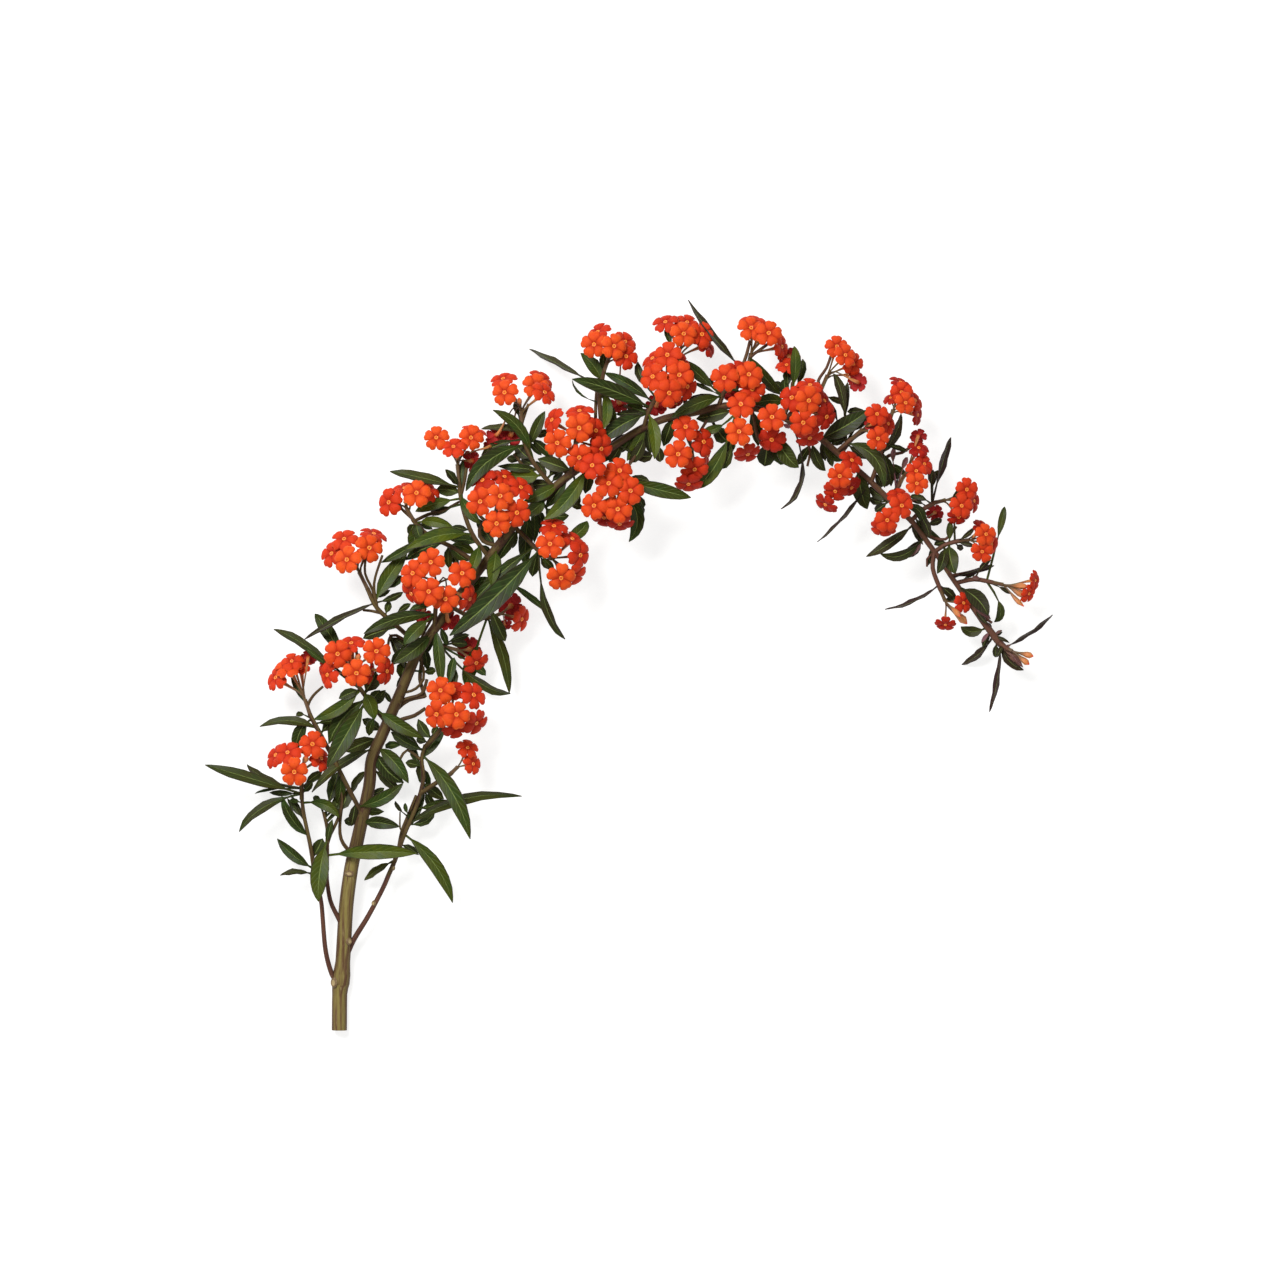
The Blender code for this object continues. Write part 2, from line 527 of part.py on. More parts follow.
def path_length(points):
    """Returns the length of a polyline."""
    return sum((after - before).length for before, after in zip(points, points[1:]))


def path_point(points, wanted):
    """Returns the point at a length along a polyline."""
    passed = 0.0
    for before, after in zip(points, points[1:]):
        stretch = (after - before).length
        if wanted <= passed + stretch + TINY:
            return before.lerp(after, (wanted - passed) / stretch)
        passed += stretch
    return points[-1].copy()


def cut_path(points, start, end):
    """Returns the stretch of a polyline between two lengths along it, with its corners."""
    corners = []
    passed = 0.0
    for before, after in zip(points, points[1:]):
        passed += (after - before).length
        if start + CORNER_SPACE < passed < end - CORNER_SPACE:
            corners.append(after)
    return [path_point(points, start)] + corners + [path_point(points, end)]


def leaf_piece(leaf, root, tip_height, margin):
    """Lofts a folded lance-shaped blade with its short stalk from a root on the axis.

    The midrib is one quadratic curve from root to tip, so its middle point is pulled
    twice as far aside as the blade bows. Each ring is a flat diamond of four corners.
    """
    base = plan_point((*leaf.base, 0.0))
    tip = plan_point((*leaf.tip, 0.0))
    base.z = root.z + FOOT_HEIGHT_SHARE * (tip_height - root.z)
    tip.z = tip_height
    chord = tip - base
    across = Vector((-chord.y, chord.x, 0.0)).normalized()
    middle = (base + tip) / 2 + across * leaf.bow * 2 + Vector((0, 0, LEAF_ARCH * chord.length))
    petiole = (base - root).length / ((base - root).length + chord.length)
    true_width = max(leaf.width, leaf.seen_width)
    roll = math.acos(leaf.seen_width / true_width)

    def ring(share, width):
        centre = root * (1 - share) ** 2 + middle * 2 * share * (1 - share) + tip * share ** 2
        ahead = ((middle - root) * (1 - share) + (tip - middle) * share).normalized()
        side = Vector((-ahead.y, ahead.x, 0.0)).normalized()
        upward = ahead.cross(side).normalized()
        lean = side * math.cos(roll) + upward * math.sin(roll)
        normal = upward * math.cos(roll) - side * math.sin(roll)
        half = width / 2 + margin
        thick = LEAF_THICKNESS / 2 + margin
        fold = normal * LEAF_FOLD * width
        return [centre + lean * half + fold, centre + normal * thick,
                centre - lean * half + fold, centre - normal * thick]

    rings = [ring(0.0, PETIOLE_WIDTH)]
    if petiole > SHORT_PETIOLE:
        rings.append(ring(petiole, PETIOLE_WIDTH))
    stations = SMALL_LEAF_STATIONS if chord.length < SMALL_LEAF_LENGTH else LEAF_STATIONS
    for share, width_share in stations:
        rings.append(ring(petiole + (1 - petiole) * share, true_width * width_share))
    points = [point for one in rings for point in one] + [tip]
    faces = [(0, 1, 2), (0, 2, 3)]
    for row in range(len(rings) - 1):
        first = row * 4
        for corner in range(4):
            here, after = first + corner, first + (corner + 1) % 4
            if corner in (0, 3):
                faces += [(here, after, after + 4), (here, after + 4, here + 4)]
            else:
                faces += [(here, after, here + 4), (after, after + 4, here + 4)]
    last = (len(rings) - 1) * 4
    faces += [(last + corner, last + (corner + 1) % 4, len(points) - 1) for corner in range(4)]
    return loft_piece("leaf", points, faces)


def floret_centre(kind, place, fork, lift, push):
    """Stands a floret a stalk's reach from the fork, over its place in plan."""
    centre = plan_point((*place, 0.0))
    outward = Vector((centre.x - fork.x, centre.y - fork.y, 0.0)).normalized()
    centre += outward * push
    flat = (centre.xy - fork.xy).length
    height = math.sqrt(max(PEDICEL_REACH ** 2 - flat ** 2, LEAST_HEIGHT ** 2))
    centre.z = fork.z + HEIGHT_SHARES[kind] * height + lift
    return centre


def ring_points(centre, first, second, radius, sides, turn):
    """Returns the corners of a ring between two directions across it."""
    angles = [turn + 2 * math.pi * corner / sides for corner in range(sides)]
    return [centre + (first * math.cos(angle) + second * math.sin(angle)) * radius for angle in angles]


def floret_piece(centre, facing, start, turn, size, margin):
    """Lofts five rounded petals, the cup behind them and the stalk down to the fork."""
    along = Vector((1, 0, 0)) if abs(facing.x) < NEARLY_ALONG else Vector((0, 1, 0))
    right = along.cross(facing).normalized()
    up = facing.cross(right).normalized()
    points = [centre - facing * (THROAT_DEPTH - margin)]
    for petal in range(PETALS):
        for share, radius_share, droop in PETAL_OUTLINE:
            angle = turn + 2 * math.pi * (petal / PETALS + share)
            radius = FLORET_RADIUS * size * radius_share + margin
            way = right * math.cos(angle) + up * math.sin(angle)
            points.append(centre + way * radius + facing * droop)
    rim_count = PETALS * len(PETAL_OUTLINE)
    per_side = rim_count // CUP_SIDES
    cup_turn = turn + math.pi / CUP_SIDES
    cup_centre = centre - facing * (CUP_DEPTH + margin)
    points += ring_points(cup_centre, right, up, CUP_RADIUS + margin, CUP_SIDES, cup_turn)
    stalk_way = (centre - start).normalized()
    stalk_right = (right - stalk_way * right.dot(stalk_way)).normalized()
    stalk_up = stalk_way.cross(stalk_right)
    points += ring_points(start, stalk_right, stalk_up, PEDICEL_RADIUS, CUP_SIDES, cup_turn)
    cup = 1 + rim_count
    end = cup + CUP_SIDES
    faces = [(0, 1 + step, 1 + (step + 1) % rim_count) for step in range(rim_count)]
    for side in range(CUP_SIDES):
        after_side = (side + 1) % CUP_SIDES
        for step in range(side * per_side, (side + 1) * per_side):
            faces.append((1 + step, cup + side, 1 + (step + 1) % rim_count))
        faces.append((cup + side, cup + after_side, 1 + (side + 1) * per_side % rim_count))
        faces.append((cup + side, end + side, cup + after_side))
        faces.append((cup + after_side, end + side, end + after_side))
    faces.append(tuple(range(end, end + CUP_SIDES)))
    return loft_piece("floret", points, faces, CUP_SIDES)


def bud_piece(centre, start, margin):
    """Lofts a closed bud as a slim spindle on its stalk."""
    way = (centre - start).normalized()
    reach = (centre - start).length
    aside = way.cross(Vector((0, 0, 1))).normalized()
    above = aside.cross(way)
    points = []
    for share, radius in BUD_RINGS:
        points += ring_points(start + way * reach * share, aside, above, radius + margin, BUD_SIDES, 0.0)
    points.append(start + way * (reach + BUD_POINT))
    faces = [tuple(range(BUD_SIDES))]
    for row in range(len(BUD_RINGS) - 1):
        for corner in range(BUD_SIDES):
            here = row * BUD_SIDES + corner
            after = row * BUD_SIDES + (corner + 1) % BUD_SIDES
            faces += [(here, after, after + BUD_SIDES), (here, after + BUD_SIDES, here + BUD_SIDES)]
    last = (len(BUD_RINGS) - 1) * BUD_SIDES
    for corner in range(BUD_SIDES):
        faces.append((last + corner, last + (corner + 1) % BUD_SIDES, len(points) - 1))
    return loft_piece("bud", points, faces)


def touches(piece, others):
    """Tells whether a piece crosses any of the others."""
    for other in others:
        apart = any(piece.low[axis] > other.high[axis] or piece.high[axis] < other.low[axis]
                    for axis in range(3))
        if not apart and piece.tree.overlap(other.tree):
            return True
    return False


def heads_cross(piece, other):
    """Tells whether the head of one floret crosses any of its sibling, or the other way."""
    return bool(piece.head.overlap(other.tree) or piece.tree.overlap(other.head))


class Spray:
    """Collects the pieces of each node and keeps the nodes clear of each other."""

    def __init__(self):
        self.pieces = {}
        self.axes = {}

    def add(self, node, piece):
        """Adds a piece to a node."""
        self.pieces.setdefault(node, []).append(piece)

    def foreign(self, node):
        """Returns the pieces of every other node."""
        return [piece for name, pieces in self.pieces.items() if name != node for piece in pieces]

    def roots_near(self, node, base):
        """Returns places on a node's axes near a leaf's base in plan, the nearest first."""
        target = plan_point((*base, 0.0))
        found = []
        for axis in self.axes[node]:
            total = path_length(axis)
            steps = max(int(total / ROOT_STEP), 2)
            for step in range(1, steps):
                point = path_point(axis, total * step / steps)
                found.append(((point.xy - target.xy).length, point))
        found.sort(key=lambda entry: entry[0])
        nearest = found[0][0]
        return [entry for entry in found if entry[0] < nearest + ROOT_REACH]

    def add_axis(self, node, path, start_gap, rounding):
        """Adds a stretch of stem, short of its start by the joint gap."""
        centres = [plan_point(place) for place in path]
        radii = [place[3] for place in path]
        points = cut_path(centres, start_gap, path_length(centres))
        self.axes.setdefault(node, []).append(centres)
        self.add(node, tube_piece(node, points, radii, rounding))

    def add_stalks(self, bloom):
        """Splits a bloom's stalk between the side shoot of its host and its own foot."""
        centres = [plan_point(place) for place in bloom.path]
        way = (centres[-1] - centres[-2]).normalized()
        shoot = centres[:-1] + [centres[-2] + way * SHOOT_STEP]
        self.axes[bloom.host].append(shoot)
        self.add(bloom.host, tube_piece("shoot", shoot, [SHOOT_RADIUS] * len(shoot), SHOOT_ROUNDING))
        stalk = [centres[-2] + way * (SHOOT_STEP + JOINT_GAP), centres[-1]]
        self.add(bloom.name, tube_piece("stalk", stalk, [STALK_RADIUS] * len(stalk), SHOOT_ROUNDING))

    def add_florets(self, bloom):
        """Adds a bloom's florets, each where it stays clear and moves least."""
        before, fork = plan_point(bloom.path[-2]), plan_point(bloom.path[-1])
        back = (before - fork).normalized()
        room = (before - fork).length - SHOOT_STEP - JOINT_GAP - 2 * FORK_SINK
        step = min(FORK_STEP, room / len(bloom.florets))
        siblings = []
        others = self.foreign(bloom.name)
        choices = sorted((abs(lift) + PUSH_COST * push, lift, push)
                         for lift in FLORET_LIFTS for push in FLORET_PUSHES)
        for index, (x, y, kind) in enumerate(bloom.florets):
            start = fork + back * (FORK_SINK + index * step)
            turn = index * FLORET_TURN
            best = None
            for cost, lift, push in choices:
                if best is not None and cost >= best[0]:
                    break
                centre = floret_centre(kind, (x, y), fork, lift, push)
                grown = self.floret(kind, centre, fork, start, turn, bloom.size, CLEARANCE)
                if grown.low.z < LOWEST or touches(grown, others):
                    continue
                cost += CROSSING_COST * sum(heads_cross(grown, sibling) for sibling in siblings)
                if best is None or cost < best[0]:
                    best = (cost, centre)
            if best is None:
                raise ValueError(f"no clear place for floret {index + 1} of {bloom.name}")
            siblings.append(self.floret(kind, best[1], fork, start, turn, bloom.size, 0.0))
            self.add(bloom.name, siblings[-1])

    def floret(self, kind, centre, fork, start, turn, size, margin):
        """Builds one floret or bud of a bloom."""
        if kind == "u":
            return bud_piece(centre, start, margin)
        outward, upward = FACINGS[kind]
        facing = (centre - fork).normalized() * outward + Vector((0, 0, upward))
        return floret_piece(centre, facing.normalized(), start, turn, size, margin)

    def add_leaf(self, node, leaf):
        """Adds a leaf with the root and lift that keep it clear and change it least."""
        others = self.foreign(node)
        choices = [(distance + LIFT_COST * abs(lift), distance, lift, root)
                   for distance, root in self.roots_near(node, leaf.base) for lift in LEAF_LIFTS]
        for _, _, lift, root in sorted(choices, key=lambda choice: choice[:3]):
            height = max(root.z + leaf.rise + lift, LEAF_LOWEST)
            grown = leaf_piece(leaf, root, height, CLEARANCE)
            if grown.low.z >= LOWEST and not touches(grown, others):
                self.add(node, leaf_piece(leaf, root, height, 0.0))
                return
        raise ValueError(f"no clear place for the leaf at {leaf.base} of {node}")

    def add_foot_leaf(self, node, leaf):
        """Adds a leaf whose tip rests on the surface."""
        _, root = self.roots_near(node, leaf.base)[0]
        self.add(node, leaf_piece(leaf, root, 0.0, 0.0))


def fuse(name, pieces, material):
    """Joins a node's pieces with one Boolean union and scales them to metres."""
    grown = bpy.data.objects.new(name, pieces[0].mesh)
    bpy.context.scene.collection.objects.link(grown)
    rest = bpy.data.collections.new(name + "_rest")
    bpy.context.scene.collection.children.link(rest)
    for piece in pieces[1:]:
        rest.objects.link(bpy.data.objects.new(name + "_part", piece.mesh))
    union = grown.modifiers.new("Union", "BOOLEAN")
    union.operation = "UNION"
    union.operand_type = "COLLECTION"
    union.collection = rest
    union.solver = "MANIFOLD"
    bpy.context.view_layer.objects.active = grown
    bpy.ops.object.modifier_apply(modifier=union.name)
    for part in list(rest.objects):
        bpy.data.objects.remove(part, do_unlink=True)
    bpy.data.collections.remove(rest)
    grown.data.transform(Matrix.Scale(MM, 4))
    grown.data.materials.clear()
    grown.data.materials.append(material)
    return grown


def cut_flat(grown):
    """Slices the underside at the floor, which leaves the flat spot that the foot rests on."""
    shell = bmesh.new()
    shell.from_mesh(grown.data)
    everything = shell.verts[:] + shell.edges[:] + shell.faces[:]
    sliced = bmesh.ops.bisect_plane(shell, geom=everything, dist=TINY, plane_co=(0, 0, 0),
                                    plane_no=(0, 0, -1), clear_outer=True)
    rim = [part for part in sliced["geom_cut"] if isinstance(part, bmesh.types.BMEdge)]
    bmesh.ops.holes_fill(shell, edges=rim, sides=0)
    bmesh.ops.recalc_face_normals(shell, faces=shell.faces)
    shell.to_mesh(grown.data)
    shell.free()


def finish_name(node):
    """Returns the finish of a node."""
    if node == "woody_stem":
        return "bark"
    return "petal" if node.startswith("bloom") else "leaf"


def build():
    """Builds every node of the spray."""
    clear_scene()
    materials = {name: make_material(name) for name in FINISHES}
    spray = Spray()
    spray.add_axis("woody_stem", WOODY_STEM, 0.0, WOODY_ROUNDING)
    for twig in WOODY_TWIGS:
        spray.add_axis("woody_stem", twig, 0.0, LEAFY_ROUNDING)
    for node, path in LEAFY_AXES:
        spray.add_axis(node, path, JOINT_GAP, LEAFY_ROUNDING)
    for bloom in BLOOMS:
        spray.add_stalks(bloom)
    for node, leaf in FOOT_LEAVES.items():
        spray.add_foot_leaf(node, leaf)
    for bloom in BLOOMS:
        spray.add_florets(bloom)
    for node, leaves in LEAVES.items():
        for leaf in leaves:
            spray.add_leaf(node, leaf)
    for node, pieces in spray.pieces.items():
        fuse(node, pieces, materials[finish_name(node)])
    cut_flat(bpy.data.objects["woody_stem"])


build()
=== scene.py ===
"""Looks of the cut spray of scarlet plume spurge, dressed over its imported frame.

The spray lies flat and the camera looks down on it. Every bloom, leafy stem and woody
foot of the frame is replaced by finer pieces that keep its place: leaves and florets
are found again in the frame by their corners, so that nothing is fitted by eye. Small
leaves, twigs and florets that the frame leaves out are added from tables of their own.
"""
import logging
import math
import random
from contextlib import contextmanager
from dataclasses import dataclass, replace
from enum import Enum
from typing import Any, Callable, Iterator, Optional, Sequence, Union

import bmesh
import bpy
from mathutils import Matrix, Vector
from mathutils.kdtree import KDTree


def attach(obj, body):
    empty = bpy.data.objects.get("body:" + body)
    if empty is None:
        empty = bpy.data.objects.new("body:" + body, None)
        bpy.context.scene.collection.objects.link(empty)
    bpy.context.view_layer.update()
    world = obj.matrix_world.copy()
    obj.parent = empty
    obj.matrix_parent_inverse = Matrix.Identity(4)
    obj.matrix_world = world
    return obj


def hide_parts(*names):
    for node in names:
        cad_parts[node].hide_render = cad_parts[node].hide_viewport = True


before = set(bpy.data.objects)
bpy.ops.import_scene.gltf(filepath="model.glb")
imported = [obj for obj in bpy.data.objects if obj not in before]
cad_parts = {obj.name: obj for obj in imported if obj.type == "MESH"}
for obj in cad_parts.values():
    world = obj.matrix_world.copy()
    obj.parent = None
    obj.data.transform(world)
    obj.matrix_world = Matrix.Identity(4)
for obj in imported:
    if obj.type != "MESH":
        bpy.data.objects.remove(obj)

log = logging.getLogger("spurge")
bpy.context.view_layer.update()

MM = 0.001
BODY = "root"
Point3 = tuple[float, float, float]
Piece = bpy.types.Object
Material = bpy.types.Material
Socket = bpy.types.NodeSocket
StemPath = list[tuple[Vector, float]]
SEED = 7
TINY = 1e-6
PLAN_CENTRE = Vector((160.0, 201.0, 0.0))

# Sizes in millimetres, or shares, that the frame's leaves and the shoots' feet were laid out with
SHOOT_STEP = 1.2
SHOOT_RADIUS = 1.25
STALK_RADIUS = 1.15
LEAF_THICKNESS = 1.0
LEAF_FOLD = 0.11
LEAF_ARCH = 0.12
LEAF_LOWEST = 2.0
FOOT_HEIGHT_SHARE = 0.35
ROOT_STEP = 3.0
ROOT_REACH = 12.0
SMALL_LEAF_LENGTH = 46.0
LARGE_PROBE = (0.5, 1.08)
SMALL_PROBE = (0.64, 0.95)
LEAF_LIFTS = (0, -3, 3, -6, 6, -9, 9, -12, 12, -15, 15, -18, 18, -22, 22, 26, 30)

# The same for its florets, buds and forks, with the turn from floret to floret in radians
PETALS = 5
FLORET_RADIUS = 7.8
FLORET_TURN = 2.4
BUD_REACH = 1.5
PETAL_CORNERS = (0.05, 0.15)
PETAL_DROP = -0.7
PEDICEL_REACH = 16.0
LEAST_HEIGHT = 4.0
JOINT_GAP = 0.3
FORK_SINK = 0.8
FORK_STEP = 1.0
NEARLY_ALONG = 0.9
FLORET_LIFTS = (0, 2, -2, 4, -4, 6, -6, 9, -9, 12, -12, 15, -15, 18)
FLORET_PUSHES = (0.0, 1.5, 3.0)

# How many millimetres in all the probes of a leaf or a floret may miss the frame unreported
LEAF_MISS = 1.0
FLORET_MISS = 3.0

# How the finer pieces are drawn over the frame: steps and gaps in millimetres, shares and sheens
STEM_STEP = 3.0
ROOT_SPOTS = 60
ROOT_SNAP = 2.5
FOOT_CURVE = 0.72
ALONG_SHARE = 0.04
WELD_GAP = 0.001
SOFT_SHEEN = 0.15
SKIN_SHEEN = 0.3
SMOOTH = {"interpolation_type": "SMOOTHSTEP"}


class Look(Enum):
    """Which way a floret looks: letter, shares outward, upward and in height, and tone. The tone is painted
    shade: a floret that faces down is drawn crimson, one that faces up orange.
    """

    UP = ("f", 0.35, 1.0, 1.0, 0.05)
    SIDE = ("s", 1.0, 0.7, 0.3, 0.3)
    BACK = ("b", 0.6, -1.0, -0.5, 0.85)
    BUD = ("u", 1.0, 0.0, 0.3, 0.0)

    def __init__(self, letter: str, outward: float, upward: float, rise: float,
                 tone: float) -> None:
        """Gives the look's shares their names."""
        self.letter, self.tone, self.rise = letter, tone, rise
        self.outward, self.upward = outward, upward

    @classmethod
    def of(cls, letter: str) -> "Look":
        """Returns the look that a letter of the layout stands for."""
        return next(look for look in cls if look.letter == letter)


@dataclass(frozen=True)
class Bloom:
    """One flower head: where its stalk leaves the axis, its way out and its florets.

    The path runs from the axis to the fork as x, y, height. Each floret is x, y and a
    letter: f faces up, s faces outward and b faces down. A bud is written u. The size
    is the share of a full floret's radius that this head's young florets have. Florets
    that the frame leaves out are added as x, y, height, letter and size.
    """

    name: str
    host: str
    path: tuple
    florets: tuple
    size: float = 1.0
    added: tuple = ()


@dataclass(frozen=True)
class Leaf:
    """One leaf: the foot and tip of its blade, width, sideways bow and rise of the tip.

    The bow is to the left of the way from foot to tip. The seen width is what shows
    from above; a blade that shows narrow is rolled on its side, and its real width is
    given too. The last leaves of leafy_stem_5 and leafy_stem_9 rest on the surface by
    their tips.
    """

    base: tuple
    tip: tuple
    seen_width: float
    bow: float
    rise: float
    width: float = 0.0


@dataclass(frozen=True)
class Scar:
    """Where a leaf once stood on the stem, in millimetres, leaning to the left by degrees."""

    place: Point3
    radius: float
    lean: float
    width: float
    length: float


SCARS = (
    Scar((0.7, 26.5, 4.3), 5.1, 46.0, 5.2, 6.2),
    Scar((6.5, 87.0, 12.3), 4.0, 8.0, 5.4, 3.8),
    Scar((2.9, 49.5, 8.0), 4.2, -44.0, 4.4, 4.6),
    Scar((20.0, 70.5, 10.5), 1.6, 30.0, 2.8, 3.4),
    Scar((29.3, 90.0, 13.0), 1.5, -40.0, 2.6, 3.2),
)

# Woody foot of the stem: x, y, height of the middle, radius
WOODY_STEM = (
    (0, 0, 3.9, 4.2), (0.2, 20, 3.9, 4.2), (0.8, 26, 4.2, 4.9), (1.3, 31, 4.9, 4.9), (2, 38, 6, 4.1),
    (2.8, 50, 8, 4.1), (4.2, 70, 10.5, 4), (7, 90, 12.5, 3.9), (9.25, 100, 13.5, 3.8),
)

# Woody feet of the three thin twigs, which start inside the stem
WOODY_TWIGS = (
    ((-1, 27, 5, 1.5), (-4, 31, 6, 1.4), (-7.5, 45, 8, 1.3), (-9.5, 70, 11, 1.2), (-11.25, 77.5, 12, 1.2)),
    ((3, 56, 9, 1.4), (-1, 64, 12, 1.3), (-4.5, 72, 13.5, 1.2), (-6.3, 84, 15, 1.1),
     (-6.15, 94, 16.25, 1.1)),
    ((3, 39, 6.5, 1.7), (8, 50, 8, 1.5), (16, 63, 9.5, 1.4), (24, 78, 11.5, 1.3), (27.5, 86, 12.5, 1.3)),
)

# Leafy stretches: x, y, height and radius along the axis
LEAFY_AXES = {
    "leafy_twig_left": (
        (-11.25, 77.5, 12, 1.2), (-13, 85, 13, 1.2), (-15, 100, 15, 1.2), (-17, 110, 16, 1.1),
        (-19, 120, 17, 1.1), (-20, 129, 18, 1),
    ),
    "leafy_twig_middle": (
        (-6.15, 94, 16.25, 1.1), (-6, 104, 17.5, 1.1), (-6, 112, 18.5, 1), (-8, 121, 19.5, 0.9),
    ),
    "leafy_twig_right": (
        (27.5, 86, 12.5, 1.3), (31, 94, 13.5, 1.3), (36, 108, 15, 1.3), (40, 117, 16, 1.2),
        (44, 127, 17.5, 1.2), (47, 140, 19, 1.1), (46, 150, 20, 1.1), (48, 158, 21, 1),
    ),
    "leafy_stem_1": (
        (9.25, 100, 13.5, 3.8), (11.5, 110, 14.5, 3.6), (17, 135, 16.5, 3.4), (18.5, 150, 18, 3.3),
        (25, 165, 19.5, 3.2), (31.5, 180, 20.5, 3.1), (36, 190.5, 21.3, 3),
    ),
    "leafy_stem_2": (
        (36, 190.5, 21.3, 3), (40, 200, 22, 2.9), (45, 210, 23, 2.8), (60, 231, 24.5, 2.7),
        (74, 249, 25.75, 2.6),
    ),
    "leafy_stem_3": (
        (74, 249, 25.75, 2.6), (88, 267, 27, 2.5), (100, 282, 28, 2.5), (110, 291, 28.25, 2.4),
    ),
    "leafy_stem_4": (
        (110, 291, 28.25, 2.4), (120, 300, 28.5, 2.3), (130, 308, 29, 2.3), (140, 314.5, 29.25, 2.2),
    ),
    "leafy_stem_5": (
        (140, 314.5, 29.25, 2.2), (150, 321, 29.5, 2.2), (166, 331, 30, 2.1), (180, 337, 30, 2.1),
        (196.5, 340.5, 30, 2),
    ),
    "leafy_stem_6": (
        (196.5, 340.5, 30, 2), (213, 344, 30, 2), (227, 343, 30, 1.9), (240, 340, 30, 1.9),
        (252, 333.5, 29.25, 1.8),
    ),
    "leafy_stem_7": (
        (252, 333.5, 29.25, 1.8), (264, 327, 28.5, 1.8), (276, 317, 27.5, 1.7), (290, 305, 26, 1.7),
        (299, 296.5, 25, 1.6),
    ),
    "leafy_stem_8": (
        (299, 296.5, 25, 1.6), (308, 288, 24, 1.6), (317, 279, 23, 1.5), (324, 269.5, 21.75, 1.5),
    ),
    "leafy_stem_9": (
        (324, 269.5, 21.75, 1.5), (331, 260, 20.5, 1.4), (337, 251, 19, 1.4), (344, 241, 17.5, 1.4),
        (356, 224, 15, 1.3), (363, 215, 13, 1.2), (369, 209, 12, 1.1),
    ),
}

